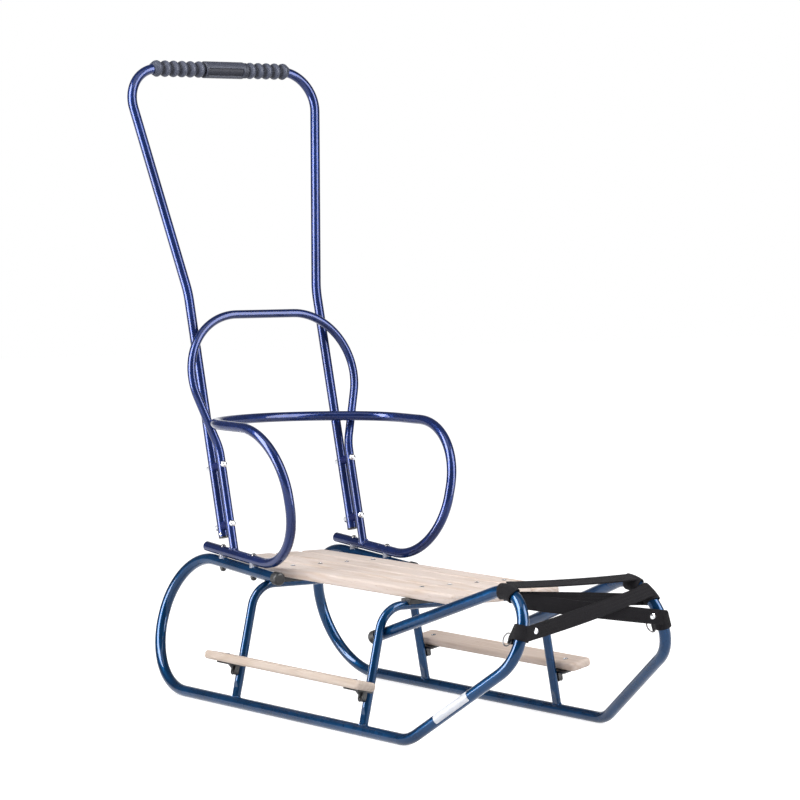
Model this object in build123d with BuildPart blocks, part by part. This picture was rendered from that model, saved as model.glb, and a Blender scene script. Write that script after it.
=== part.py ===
"""Child's snow sled with push handle, backrest, arm loops, slatted seat, footrests and tow strap.

Frame: +X forward, +Y left, +Z up, origin on the ground under the sled's middle, millimetres.
Every tube is swept along a bent centre line of straight lengths and tangent arcs.
"""
import os
from math import atan, cos, degrees, radians, sin, sqrt, tan

from build123d import *

os.makedirs("parts", exist_ok=True)

# Stock and fits
runner_d = 18.0
arm_d = 16.0
handle_d = 16.0
arch_d = 14.0
back_d = 14.0
wall = 1.5
weld_gap = 0.2
soft_gap = 0.3
bolt_d = 6.0
bolt_fit = 0.4
runner_r = runner_d / 2
arm_r = arm_d / 2
handle_r = handle_d / 2
arch_r = arch_d / 2
back_r = back_d / 2

# Places along X are counted from here, so that the origin lies under the middle of the whole length
mid_x = -0.41

# Arches: inverted U tubes standing on the ground tubes
track = 380.0
rear_arch_x = mid_x - 159.0
arch_spacing = 342.0
front_arch_x = rear_arch_x + arch_spacing
arch_top_z = 194.0
arch_inset = 38.0
arch_shoulder_y = track / 2 - arch_inset
arch_bend = 42.0
foot_flat = 4.4
foot_flat_low = 24.0
foot_flat_high = 67.0
ground_z = runner_r
leg_lean = arch_inset / (arch_top_z - ground_z)
leg_tilt = degrees(atan(leg_lean))

# Runners: each bent from one tube, its rear half and its curl leaning in by their own slopes
rear_lean = 0.285
runner_rear_x = mid_x - 416.0
runner_front_x = mid_x + 494.0
ground_corner_x = mid_x + 298.0
rear_slope = 0.07
diagonal_slope = 0.685
return_slope = 0.361
return_cross_z = 155.0
rear_upper_bend = 100.0
rear_lower_bend = 113.0
ground_bend = 60.0
curl_bend = 63.0
rear_tube_x = mid_x - 120.0
return_tube_x = mid_x + 152.0
cross_gap = runner_r + arch_r + weld_gap
cross_rise = return_cross_z - ground_z
cross_run = sqrt(cross_rise**2 - (return_slope * cross_gap) ** 2)
front_lean = leg_lean + cross_gap * sqrt(1 + leg_lean**2) / cross_run
# the rear straight rests square on the rear arch's bends
bend_y = arch_shoulder_y - arch_bend * tan(radians(90 - leg_tilt) / 2)
bend_z = arch_top_z - arch_bend
bend_reach = arch_bend + arch_r + runner_r + weld_gap
rest_y = track / 2 - rear_lean * (bend_z - ground_z) - bend_y
rest_root = sqrt((1 + rear_lean**2) * bend_reach**2 - rest_y**2)
rear_rest_z = bend_z + (rest_y * rear_lean + rest_root) / (1 + rear_lean**2)

# Tube ends
cap_len = 14.0
cap_grip = 10.0
cap_wall = 1.3
plug_depth = 10.0
plug_flange = 2.5

# Seat
slat_count = 4
slat_gap = 3.2
slat_t = 16.0
seat_clear = 19.5
seat_half = track / 2 - rear_lean * (rear_rest_z - ground_z) - runner_r - seat_clear
slat_pitch = (2 * seat_half + slat_gap) / slat_count
slat_w = slat_pitch - slat_gap
slat_rear_x = mid_x - 334.0
slat_front_x = mid_x + 292.0
slat_corner = 9.0
slat_round = 5.0
saddle_rise = 3.0
saddle_w = 22.0
saddle_over = 6.2
saddle_len = 2 * (seat_half + saddle_over)
saddle_grip = 5.0
saddle_z = arch_top_z + arch_r + saddle_rise

# Footrests
footrest_up = 67.5
footrest_len = 412.0
footrest_x = mid_x + 13.0
footrest_w = 40.0
footrest_t = 13.5
footrest_corner = 8.0
footrest_round = 4.5
bracket_t = 3.0
bracket_w = 40.0
bracket_tab = 29.0
lug_t = 8.0
lug_w = 11.0
lug_drop = 18.0
gusset_t = 4.0
gusset_len = 10.0
gusset_drop = 8.0
footrest_gap = 3.5

# Backrest and push handle: two parallel planes leaning back
back_tilt = 15.3
back_leg_in = 61.5
back_leg_y = track / 2 - back_leg_in
back_foot_x = mid_x - 257.0
back_foot_z = 247.5
back_knee_z = 400.0
back_top_z = 614.0
back_flare = 71.5
back_top_y = back_leg_y + back_flare
back_knee_bend = 80.0
back_top_bend = 104.0
handle_spacer = 10.0
handle_end_z = 258.0
handle_knee_z = 650.0
handle_knee_bend = 160.0
handle_top_z = 1017.0
handle_flare = 65.5
handle_top_y = back_leg_y + handle_flare
handle_bend = 59.0
handle_offset = back_r + handle_r + handle_spacer

# Arm loop
arm_spacer = 1.5
arm_rear_x = mid_x - 331.0
arm_front_x = mid_x - 59.0
arm_top_z = 444.5
arm_in = 10.0
arm_draw = 6.0
arm_top_y = track / 2 - arm_in
arm_corner_y = arm_top_y - arm_draw
arm_bend = 105.0
arm_corner_bend = 90.0
bow_angle = 31.8
bow_straight = 2.7
arm_lift = runner_r + arm_r + arm_spacer

# Grip on the push bar
grip_over = 11.0
handle_rise = (handle_top_z - handle_knee_z) / cos(radians(back_tilt))
handle_turn = radians(90) + atan(handle_flare / handle_rise)
grip_half = handle_top_y - handle_bend * tan(handle_turn / 2) + grip_over
grip_barrel_half = 42.0
grip_barrel_r = 13.8
grip_valley_r = 10.8
grip_rib_r = 13.6
grip_ribs = 6
panel_len = 52.0
panel_w = 11.0
panel_deep = 0.8

# Tow strap and its end rings
strap_w = 25.0
strap_t = 2.0
strap_loose = 1.6
loop_z = 181.0
fold_out = 21.0
fold_eye_r = 2.5
fold_w = 12.0
fold_drop = 6.0
ring_r = 9.5
ring_wire_r = 1.1
ring_inset = 1.2
wrap_left_low = (mid_x + 471.0, 221.0)
wrap_left_high = (mid_x + 447.0, 238.0)
wrap_right = (mid_x + 439.0, 242.0)
wrap_w = 31.0
bolt_head_d = 11.0
bolt_head_h = 4.0
nut_d = 11.0
nut_h = 6.0
bolt_tail = 3.0
spacer_d = 14.0

SIDES = {"right": -1, "left": 1}


def bend_path(corners, radii):
    """Draws a bent tube's centre line into the open BuildLine: lines joined by tangent arcs."""
    here = Vector(corners[0])
    for before, corner, after, radius in zip(corners, corners[1:], corners[2:], radii):
        corner = Vector(corner)
        into = (corner - Vector(before)).normalized()
        out = (Vector(after) - corner).normalized()
        half_turn = radians(into.get_angle(out)) / 2
        start = corner - into * (radius * tan(half_turn))
        end = corner + out * (radius * tan(half_turn))
        middle = corner + (out - into).normalized() * (radius / cos(half_turn) - radius)
        Line(here, start)
        ThreePointArc(start, middle, end)
        here = end
    Line(here, Vector(corners[-1]))


def rear_z(x):
    """Height of the runner's rear straight."""
    return rear_rest_z + rear_slope * (rear_arch_x - x)


def return_z(x):
    """Height of the runner's front return straight."""
    return return_cross_z + return_slope * (x - front_arch_x)


def on_rear(x, z, side):
    """Point of a runner's rear half, which leans in over the ground tube."""
    return (x, side * (track / 2 - rear_lean * (z - ground_z)), z)


def on_front(x, z, side):
    """Point of a runner's front half, which leans in over the ground tube."""
    return (x, side * (track / 2 - front_lean * (z - ground_z)), z)


def on_back(y, z, behind=0.0):
    """Point in the backrest's leaning plane, or in a parallel plane that far behind it."""
    lean = radians(back_tilt)
    return (back_foot_x - (z - back_foot_z) * tan(lean) - behind / cos(lean), y, z)


def leg_axis(side):
    """Direction up an arch's leg."""
    return Vector(0, -side * leg_lean, 1).normalized()


back_normal = Vector(cos(radians(back_tilt)), 0, sin(radians(back_tilt)))
corner_setback = arm_corner_bend * tan(radians(90 - bow_angle) / 2)
bow_run = arm_corner_y / cos(radians(bow_angle)) - corner_setback - bow_straight
bow_bend = bow_run / tan(radians(bow_angle))
bar_gap = (back_r + arm_r + weld_gap) / cos(radians(back_tilt))
bow_centre_x = on_back(0, arm_top_z)[0] + sqrt((bow_bend + bar_gap) ** 2 - back_leg_y**2)
bow_x = bow_centre_x - bow_bend / cos(radians(bow_angle))
arm_corner_x = bow_x + arm_corner_y * tan(radians(bow_angle))

runner_corners = {}
arm_half = {}
for side_name, side in SIDES.items():
    diagonal_z = ground_z + diagonal_slope * (runner_front_x - ground_corner_x)
    runner_corners[side_name] = [
        on_rear(rear_tube_x, rear_z(rear_tube_x), side),
        on_rear(runner_rear_x, rear_z(runner_rear_x), side),
        on_rear(runner_rear_x, ground_z, side),
        on_front(ground_corner_x, ground_z, side),
        on_front(runner_front_x, diagonal_z, side),
        on_front(runner_front_x, return_z(runner_front_x), side),
        on_front(return_tube_x, return_z(return_tube_x), side),
    ]
    lift = Vector(0, 0, arm_lift)
    arm_half[side_name] = [
        Vector(on_rear(arm_rear_x, rear_z(arm_rear_x), side)) + lift,
        Vector(on_rear(arm_front_x, rear_z(arm_front_x), side)) + lift,
        Vector(arm_front_x, side * arm_top_y, arm_top_z),
        Vector(arm_corner_x, side * arm_corner_y, arm_top_z),
    ]

# Clamps join two tubes through a spacer
# columns: centre on the first tube, way to the second, distance, both radii, way along the tubes
clamps = {}
for side_name, side in SIDES.items():
    # station: X along the runner's rear straight
    for station, x in (("rear", mid_x - 283.0), ("front", mid_x - 193.0)):
        low = Vector(on_rear(x, rear_z(x), side))
        tube_way = Vector(1, side * rear_lean * rear_slope, -rear_slope)
        clamps[f"arm_{station}_{side_name}"] = (
            low + Vector(0, 0, arm_lift), Vector(0, 0, -1), arm_lift, arm_r, runner_r, tube_way)
    # station: height on the backrest's leg
    for station, z in (("low", 280.5), ("high", 374.5)):
        clamps[f"handle_{station}_{side_name}"] = (
            Vector(on_back(side * back_leg_y, z)), -back_normal, handle_offset, back_r, handle_r,
            Vector(0, 1, 0).cross(back_normal))


def clamp_planes(prefix):
    """Planes on the bolts of the clamps so named, normal along the bolt."""
    return [Plane(origin=c[0], z_dir=c[1]) for name, c in clamps.items() if name.startswith(prefix)]


# Frame tubes
runner_radii = [rear_upper_bend, rear_lower_bend, ground_bend, curl_bend, curl_bend]
for side_name, side in SIDES.items():
    with BuildPart() as runner:
        with BuildLine() as runner_line:
            bend_path(runner_corners[side_name], runner_radii)
        runner_wire = runner_line.wire()
        with BuildSketch(Plane(origin=runner_wire @ 0, z_dir=runner_wire % 0)):
            Circle(runner_r)
        sweep(path=runner_wire)
        for bolt_plane in clamp_planes("arm"):
            with BuildSketch(bolt_plane):
                Circle((bolt_d + bolt_fit) / 2)
            extrude(amount=arm_lift * 2, mode=Mode.SUBTRACT)
    runner.part.label = f"runner_{side_name}"
    export_step(runner.part, f"parts/runner_{side_name}.step")

for arch_name, arch_x in (("rear", rear_arch_x), ("front", front_arch_x)):
    with BuildPart() as arch:
        with BuildLine() as arch_line:
            bend_path([(arch_x, -track / 2, ground_z), (arch_x, -arch_shoulder_y, arch_top_z),
                       (arch_x, arch_shoulder_y, arch_top_z), (arch_x, track / 2, ground_z)],
                      [arch_bend, arch_bend])
        arch_wire = arch_line.wire()
        with BuildSketch(Plane(origin=arch_wire @ 0, z_dir=arch_wire % 0)):
            Circle(arch_r)
        sweep(path=arch_wire)
        for side in SIDES.values():
            with Locations(Location((arch_x, side * track / 2, ground_z), (0, 90, 0))):
                Cylinder(runner_r + weld_gap, arch_d * 4, mode=Mode.SUBTRACT)
            # the foot is pressed flat where it is welded down
            across = Vector(0, 1, side * leg_lean).normalized()
            foot = (arch_x, side * track / 2, ground_z)
            with BuildSketch(Plane(origin=foot, x_dir=across, z_dir=(1, 0, 0))):
                for face in (-1, 1):
                    with BuildLine():
                        Polyline((face * foot_flat, 0), (face * foot_flat, foot_flat_low),
                                 (face * arch_d, foot_flat_high), (face * arch_d, 0), close=True)
                    make_face()
            extrude(amount=arch_d, both=True, mode=Mode.SUBTRACT)
    arch.part.label = f"{arch_name}_arch"
    export_step(arch.part, f"parts/{arch_name}_arch.step")

with BuildPart() as arm_loop:
    with BuildLine() as arm_line:
        bend_path(arm_half["right"] + [Vector(bow_x, 0, arm_top_z)] + arm_half["left"][::-1],
                  [arm_bend, arm_bend, arm_corner_bend, bow_bend, arm_corner_bend, arm_bend, arm_bend])
    arm_wire = arm_line.wire()
    with BuildSketch(Plane(origin=arm_wire @ 0, z_dir=arm_wire % 0)):
        Circle(arm_r)
    sweep(path=arm_wire)
    for side_name in SIDES:
        rear_end, front_end = arm_half[side_name][:2]
        with BuildSketch(Plane(origin=rear_end, z_dir=front_end - rear_end)):
            Circle(arm_r - wall)
        extrude(amount=plug_depth, mode=Mode.SUBTRACT)
    for bolt_plane in clamp_planes("arm"):
        with BuildSketch(bolt_plane):
            Circle((bolt_d + bolt_fit) / 2)
        extrude(amount=arm_d, both=True, mode=Mode.SUBTRACT)
arm_loop.part.label = "arm_loop"
export_step(arm_loop.part, "parts/arm_loop.step")

with BuildPart() as backrest_loop:
    foot_z = rear_z(back_foot_x) + arm_lift
    with BuildLine() as back_line:
        bend_path([on_back(-back_leg_y, foot_z), on_back(-back_leg_y, back_knee_z),
                   on_back(-back_top_y, back_top_z), on_back(back_top_y, back_top_z),
                   on_back(back_leg_y, back_knee_z), on_back(back_leg_y, foot_z)],
                  [back_knee_bend, back_top_bend, back_top_bend, back_knee_bend])
    back_wire = back_line.wire()
    with BuildSketch(Plane(origin=back_wire @ 0, z_dir=back_wire % 0)):
        Circle(back_r)
    sweep(path=back_wire)
    for side_name in SIDES:
        rear_end, front_end = arm_half[side_name][:2]
        with BuildSketch(Plane(origin=rear_end, z_dir=front_end - rear_end)):
            Circle(arm_r + weld_gap)
        extrude(amount=(front_end - rear_end).length, mode=Mode.SUBTRACT)
    for bolt_plane in clamp_planes("handle"):
        with BuildSketch(bolt_plane):
            Circle((bolt_d + bolt_fit) / 2)
        extrude(amount=back_d, both=True, mode=Mode.SUBTRACT)
    split_plane = Plane(origin=on_back(0, foot_z), z_dir=(0, 0, 1))
    split(bisect_by=split_plane, keep=Keep.TOP)
backrest_loop.part.label = "backrest_loop"
export_step(backrest_loop.part, "parts/backrest_loop.step")

with BuildPart() as push_handle:
    handle_corners = [on_back(-back_leg_y, handle_end_z, handle_offset),
                      on_back(-back_leg_y, handle_knee_z, handle_offset),
                      on_back(-handle_top_y, handle_top_z, handle_offset),
                      on_back(handle_top_y, handle_top_z, handle_offset),
                      on_back(back_leg_y, handle_knee_z, handle_offset),
                      on_back(back_leg_y, handle_end_z, handle_offset)]
    with BuildLine() as handle_line:
        bend_path(handle_corners, [handle_knee_bend, handle_bend, handle_bend, handle_knee_bend])
    handle_wire = handle_line.wire()
    with BuildSketch(Plane(origin=handle_wire @ 0, z_dir=handle_wire % 0)):
        Circle(handle_r)
    sweep(path=handle_wire)
    for end, inner in ((handle_corners[0], handle_corners[1]), (handle_corners[-1], handle_corners[-2])):
        with BuildSketch(Plane(origin=end, z_dir=Vector(inner) - Vector(end))):
            Circle(handle_r - wall)
        extrude(amount=plug_depth, mode=Mode.SUBTRACT)
    for bolt_plane in clamp_planes("handle"):
        with BuildSketch(bolt_plane):
            Circle((bolt_d + bolt_fit) / 2)
        extrude(amount=handle_offset * 2, mode=Mode.SUBTRACT)
push_handle.part.label = "push_handle"
export_step(push_handle.part, "parts/push_handle.step")

# Tube ends: sleeve caps on the runners' free ends, plugs in the handle's feet
for side_name in SIDES:
    corners = runner_corners[side_name]
    for end_name, end, inner in (("rear", corners[0], corners[1]), ("front", corners[-1], corners[-2])):
        outward = (Vector(end) - Vector(inner)).normalized()
        with BuildPart() as runner_cap:
            with BuildSketch(Plane(origin=Vector(end) - outward * cap_grip, z_dir=outward)):
                Circle(runner_r + soft_gap + cap_wall)
            extrude(amount=cap_len)
            fillet(runner_cap.edges().sort_by(Axis(end, tuple(outward)))[-1], cap_wall * 3)
            with BuildSketch(Plane(origin=Vector(end) - outward * cap_grip, z_dir=outward)):
                Circle(runner_r + soft_gap)
            extrude(amount=cap_grip + soft_gap, mode=Mode.SUBTRACT)
        runner_cap.part.label = f"runner_cap_{end_name}_{side_name}"
        export_step(runner_cap.part, f"parts/runner_cap_{end_name}_{side_name}.step")

for side_name, end, inner in (("right", handle_corners[0], handle_corners[1]),
                              ("left", handle_corners[-1], handle_corners[-2])):
    inward = (Vector(inner) - Vector(end)).normalized()
    with BuildPart() as handle_plug:
        with BuildSketch(Plane(origin=end, z_dir=-inward)):
            Circle(handle_r)
        extrude(amount=plug_flange)
        fillet(handle_plug.edges().sort_by(Axis(end, tuple(-inward)))[-1], plug_flange * 0.6)
        with BuildSketch(Plane(origin=end, z_dir=inward)):
            Circle(handle_r - wall - soft_gap)
        extrude(amount=plug_depth - soft_gap)
    handle_plug.part.label = f"handle_plug_{side_name}"
    export_step(handle_plug.part, f"parts/handle_plug_{side_name}.step")

# Clamp spacers, coped to both tubes, and their bolts
for name, (place, way, distance, first_r, second_r, along) in clamps.items():
    with BuildPart() as spacer:
        with BuildSketch(Plane(origin=place, z_dir=way)):
            Circle(spacer_d / 2)
            Circle((bolt_d + bolt_fit) / 2, mode=Mode.SUBTRACT)
        extrude(amount=distance)
        for centre, radius in ((place, first_r), (place + way * distance, second_r)):
            with BuildSketch(Plane(origin=centre, z_dir=along)):
                Circle(radius + weld_gap / 2)
            extrude(amount=spacer_d * 2, both=True, mode=Mode.SUBTRACT)
    spacer.part.label = f"{name.split('_')[0]}_spacer_{name.split('_', 1)[1]}"
    export_step(spacer.part, f"parts/{spacer.part.label}.step")

    with BuildPart() as bolt:
        with BuildSketch(Plane(origin=place - way * first_r, z_dir=way)):
            Circle(bolt_d / 2)
        extrude(amount=first_r + distance + second_r + nut_h + bolt_tail)
        with BuildSketch(Plane(origin=place, z_dir=-way)):
            Circle(bolt_head_d / 2)
        extrude(amount=first_r + bolt_head_h)
        fillet(bolt.edges().sort_by(Axis(tuple(place), tuple(-way)))[-1], bolt_head_h * 0.7)
        with BuildSketch(Plane(origin=place + way * distance, z_dir=way)):
            RegularPolygon(nut_d / 2, 6)
        extrude(amount=second_r + nut_h)
        for centre, radius in ((place, first_r), (place + way * distance, second_r)):
            with BuildSketch(Plane(origin=centre, z_dir=along)):
                Circle(radius + weld_gap / 2)
            extrude(amount=bolt_head_d * 2, both=True, mode=Mode.SUBTRACT)
        with BuildSketch(Plane(origin=place - way * (first_r + bolt_head_h / 2), z_dir=way)):
            Circle(bolt_d / 2)
        extrude(amount=first_r + distance + second_r + nut_h + bolt_tail)
    bolt.part.label = f"{name.split('_')[0]}_bolt_{name.split('_', 1)[1]}"
    export_step(bolt.part, f"parts/{bolt.part.label}.step")

# Seat: slats on saddles that straddle the arches
for arch_name, arch_x in (("rear", rear_arch_x), ("front", front_arch_x)):
    with BuildPart() as saddle:
        with Locations((arch_x, 0, saddle_z)):
            Box(saddle_w, saddle_len, saddle_rise + saddle_grip,
                align=(Align.CENTER, Align.CENTER, Align.MAX))
        fillet(saddle.edges().filter_by(Axis.Y).sort_by(Axis.Z)[-2:], saddle_rise * 0.5)
        with Locations(Location((arch_x, 0, arch_top_z), (90, 0, 0))):
            Cylinder(arch_r + weld_gap, saddle_len * 2, mode=Mode.SUBTRACT)
    saddle.part.label = f"seat_saddle_{arch_name}"
    export_step(saddle.part, f"parts/seat_saddle_{arch_name}.step")

for slat_index in range(slat_count):
    slat_y = (slat_index - (slat_count - 1) / 2) * slat_pitch
    with BuildPart() as slat:
        with BuildSketch(Plane.XY.offset(saddle_z)):
            with Locations(((slat_rear_x + slat_front_x) / 2, slat_y)):
                RectangleRounded(slat_front_x - slat_rear_x, slat_w, slat_corner)
        extrude(amount=slat_t)
        fillet(slat.faces().sort_by(Axis.Z)[-1].edges(), slat_round)
        fillet(slat.faces().sort_by(Axis.Z)[0].edges(), slat_round / 2)
    slat.part.label = f"seat_slat_{slat_index + 1}"
    export_step(slat.part, f"parts/seat_slat_{slat_index + 1}.step")

# Footrests: planks square to the legs, on brackets at each leg
plank_near = arch_r + weld_gap + bracket_t + footrest_gap
for side_name, side in SIDES.items():
    up = leg_axis(side)
    leg_foot = Vector(0, side * track / 2, ground_z)
    rest_plane = Plane(origin=leg_foot + up * footrest_up, x_dir=(1, 0, 0), z_dir=up)
    with BuildPart() as footrest:
        with BuildSketch(rest_plane.offset(-footrest_t / 2)):
            with Locations((footrest_x, side * (plank_near + footrest_w / 2))):
                RectangleRounded(footrest_len, footrest_w, footrest_corner)
        extrude(amount=footrest_t)
        footrest_faces = footrest.faces().filter_by(GeomType.PLANE).sort_by(Axis(tuple(leg_foot), tuple(up)))
        fillet(footrest_faces[0].edges() + footrest_faces[-1].edges(), footrest_round)
    footrest.part.label = f"footrest_{side_name}"
    export_step(footrest.part, f"parts/footrest_{side_name}.step")
    for arch_name, arch_x in (("rear", rear_arch_x), ("front", front_arch_x)):
        with BuildPart() as bracket:
            with BuildSketch(rest_plane.offset(-footrest_t / 2)):
                with Locations((arch_x, side * (arch_r + weld_gap + bracket_tab / 2))):
                    RectangleRounded(bracket_w, bracket_tab, bracket_t)
            extrude(amount=-bracket_t)
            with BuildSketch(rest_plane.offset(-footrest_t / 2)):
                with Locations((arch_x, side * (arch_r + weld_gap + lug_t / 2))):
                    Rectangle(lug_w, lug_t)
            extrude(amount=-lug_drop)
            lug_low = bracket.faces().filter_by(GeomType.PLANE).sort_by(Axis(tuple(leg_foot), tuple(up)))[0]
            fillet(lug_low.edges().filter_by(lambda e: abs((e % 0.5).X) < 0.1), lug_w * 0.45)
            lug_face = arch_r + weld_gap + lug_t
            tab_low = -footrest_t / 2 - bracket_t
            at_leg = rest_plane.origin + Vector(arch_x, 0, 0)
            with BuildSketch(Plane(origin=at_leg, x_dir=rest_plane.y_dir, z_dir=(1, 0, 0))):
                with BuildLine():
                    Polyline((side * lug_face, tab_low), (side * (lug_face + gusset_len), tab_low),
                             (side * lug_face, tab_low - gusset_drop), close=True)
                make_face()
            extrude(amount=gusset_t / 2, both=True)
        bracket.part.label = f"footrest_bracket_{arch_name}_{side_name}"
        export_step(bracket.part, f"parts/footrest_bracket_{arch_name}_{side_name}.step")

# Ribbed grip on the push bar, turned about the bar
with BuildPart() as handle_grip:
    bar = Vector(on_back(0, handle_top_z, handle_offset))
    rib_pitch = (grip_half - grip_barrel_half) / grip_ribs
    with BuildSketch(Plane(origin=bar, x_dir=(0, 1, 0), z_dir=(1, 0, 0))):
        with BuildLine():
            for half in (-1, 1):
                for rib in range(grip_ribs):
                    inner_y = half * (grip_barrel_half + rib * rib_pitch)
                    outer_y = half * (grip_barrel_half + (rib + 1) * rib_pitch)
                    ThreePointArc((inner_y, grip_valley_r), ((inner_y + outer_y) / 2, grip_rib_r),
                                  (outer_y, grip_valley_r))
                Line((half * grip_half, grip_valley_r), (half * grip_half, handle_r + soft_gap))
                Line((half * grip_barrel_half, grip_valley_r), (half * grip_barrel_half, grip_barrel_r))
            Line((-grip_half, handle_r + soft_gap), (grip_half, handle_r + soft_gap))
            Line((-grip_barrel_half, grip_barrel_r), (grip_barrel_half, grip_barrel_r))
        make_face()
    revolve(axis=Axis(tuple(bar), (0, 1, 0)))
    # the bore follows the bar into the start of its bends
    with BuildSketch(Plane(origin=handle_wire @ 0, z_dir=handle_wire % 0)):
        Circle(handle_r + soft_gap)
    sweep(path=handle_wire, mode=Mode.SUBTRACT)
    panel_floor = bar + back_normal * (grip_barrel_r - panel_deep)
    with BuildSketch(Plane(origin=panel_floor, x_dir=(0, 1, 0), z_dir=back_normal)):
        RectangleRounded(panel_len, panel_w, panel_w / 4)
    extrude(amount=grip_barrel_r, mode=Mode.SUBTRACT)
handle_grip.part.label = "handle_grip"
export_step(handle_grip.part, "parts/handle_grip.step")


curl_turn = Vector(0, -front_lean, 1).get_angle(Vector(-1, front_lean * return_slope, -return_slope))
curl_setback = curl_bend * tan(radians(curl_turn) / 2)
curl_centre_z = return_z(runner_front_x) - curl_setback / sqrt(1 + front_lean**2)


def curl_frame(x, z, side):
    """Plane across the curl's tube at its point nearest (x, z): x out of the curl, z along the tube."""
    centre = Vector(on_front(runner_front_x - curl_bend, curl_centre_z, side))
    out = (Vector(on_front(x, z, side)) - centre).normalized()
    along = Vector(0, 1, front_lean * side).normalized().cross(out)
    return Plane(origin=centre + out * curl_bend, x_dir=out, z_dir=along)


# Tow strap: a loop at each end, wraps round the curls, and flat spans between them
strap_in = runner_r + strap_loose
strap_mid = strap_in + strap_t / 2
with BuildPart() as tow_strap:
    for side in SIDES.values():
        frame = curl_frame(runner_front_x, loop_z, side)
        with BuildSketch(frame):
            Circle(strap_in + strap_t)
            with Locations((-fold_out, 0)):
                Circle(fold_eye_r + strap_t)
            make_hull()
        extrude(amount=strap_w / 2, both=True)
        with BuildSketch(frame):
            Circle(strap_in)
            with Locations((-fold_out, 0)):
                Circle(fold_eye_r)
            make_hull()
        extrude(amount=strap_w, both=True, mode=Mode.SUBTRACT)
        with BuildSketch(Plane(origin=frame.origin, x_dir=frame.x_dir, z_dir=-frame.y_dir)):
            for end in (-1, 1):
                fold_edge = fold_drop + end * fold_w / 2
                with BuildLine():
                    Polyline((-strap_in, end * strap_w / 2), (-fold_out, fold_edge),
                             (-fold_out * 2, fold_edge), (-fold_out * 2, end * strap_w),
                             (-strap_in, end * strap_w), close=True)
                make_face()
        extrude(amount=strap_w, both=True, mode=Mode.SUBTRACT)
    wraps = {"left_low": (wrap_left_low, 1), "left_high": (wrap_left_high, 1), "right": (wrap_right, -1)}
    wrap_frames = {name: curl_frame(*spot, side) for name, (spot, side) in wraps.items()}
    for frame in wrap_frames.values():
        with BuildSketch(frame):
            Circle(strap_in + strap_t)
        extrude(amount=wrap_w / 2, both=True)
    loop_frames = {name: curl_frame(runner_front_x, loop_z, side) for name, side in SIDES.items()}
    # from, its way out of the curl, to, its way out of the curl
    spans = (
        (loop_frames["right"], 1, wrap_frames["left_low"], 1),
        (wrap_frames["left_high"], 1, wrap_frames["right"], 1),
        (wrap_frames["right"], -1, loop_frames["left"], 1),
        (wrap_frames["right"], -1, wrap_frames["left_low"], -1),
    )
    for first, first_way, second, second_way in spans:
        start = first.origin + first.x_dir * first_way * strap_mid
        stop = second.origin + second.x_dir * second_way * strap_mid
        run = (stop - start).normalized()
        for spot, frame in ((start, first), (stop, second)):
            across = (frame.z_dir - run * frame.z_dir.dot(run)).normalized()
            with BuildSketch(Plane(origin=spot, x_dir=across, z_dir=run)):
                Rectangle(strap_w, strap_t)
        loft()
    for side_name in SIDES:
        with BuildLine() as tube_line:
            bend_path(runner_corners[side_name][3:], runner_radii[3:])
        tube_wire = tube_line.wire()
        with BuildSketch(Plane(origin=tube_wire @ 0, z_dir=tube_wire % 0)):
            Circle(runner_r + soft_gap)
        sweep(path=tube_wire, mode=Mode.SUBTRACT)
tow_strap.part.label = "tow_strap"
export_step(tow_strap.part, "parts/tow_strap.step")

for side_name, side in SIDES.items():
    frame = curl_frame(runner_front_x, loop_z, side)
    ring_centre = frame.origin - frame.x_dir * (fold_out - ring_inset + ring_r) + frame.z_dir * fold_drop
    with BuildPart() as tow_ring:
        with Locations(Plane(origin=ring_centre, x_dir=frame.x_dir, z_dir=frame.y_dir).location):
            Torus(ring_r, ring_wire_r)
    tow_ring.part.label = f"tow_ring_{side_name}"
    export_step(tow_ring.part, f"parts/tow_ring_{side_name}.step")
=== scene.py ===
"""Looks of a child's snow sled: candy-painted tubes, birch slats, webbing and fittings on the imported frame.

Every length is in metres, in the CAD model's frame: +X forward, +Y left, +Z up, the ground at Z = 0.
"""
import logging
from dataclasses import dataclass
from enum import Enum
from math import cos, hypot, pi, radians, sin, sqrt, tan

import bmesh
import bpy
import numpy as np
from mathutils import Matrix, Vector


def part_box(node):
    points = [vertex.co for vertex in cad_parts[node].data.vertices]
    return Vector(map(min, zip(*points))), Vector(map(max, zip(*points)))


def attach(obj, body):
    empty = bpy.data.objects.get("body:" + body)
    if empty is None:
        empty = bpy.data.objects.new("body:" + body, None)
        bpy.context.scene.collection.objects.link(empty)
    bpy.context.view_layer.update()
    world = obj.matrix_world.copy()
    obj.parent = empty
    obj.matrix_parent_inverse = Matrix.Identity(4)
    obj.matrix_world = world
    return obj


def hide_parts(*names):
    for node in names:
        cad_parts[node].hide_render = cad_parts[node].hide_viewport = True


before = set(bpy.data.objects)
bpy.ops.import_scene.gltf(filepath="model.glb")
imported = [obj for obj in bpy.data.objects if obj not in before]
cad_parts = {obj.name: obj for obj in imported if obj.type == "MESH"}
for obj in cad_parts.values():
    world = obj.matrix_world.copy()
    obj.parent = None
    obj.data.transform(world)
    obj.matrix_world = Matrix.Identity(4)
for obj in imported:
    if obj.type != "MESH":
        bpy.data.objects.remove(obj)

Array = np.ndarray
Colour = tuple[float, float, float]
Triple = tuple[float, float, float]
Pair = tuple[float, float]
Material = bpy.types.Material
Node = bpy.types.Node
Socket = bpy.types.NodeSocket

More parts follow.
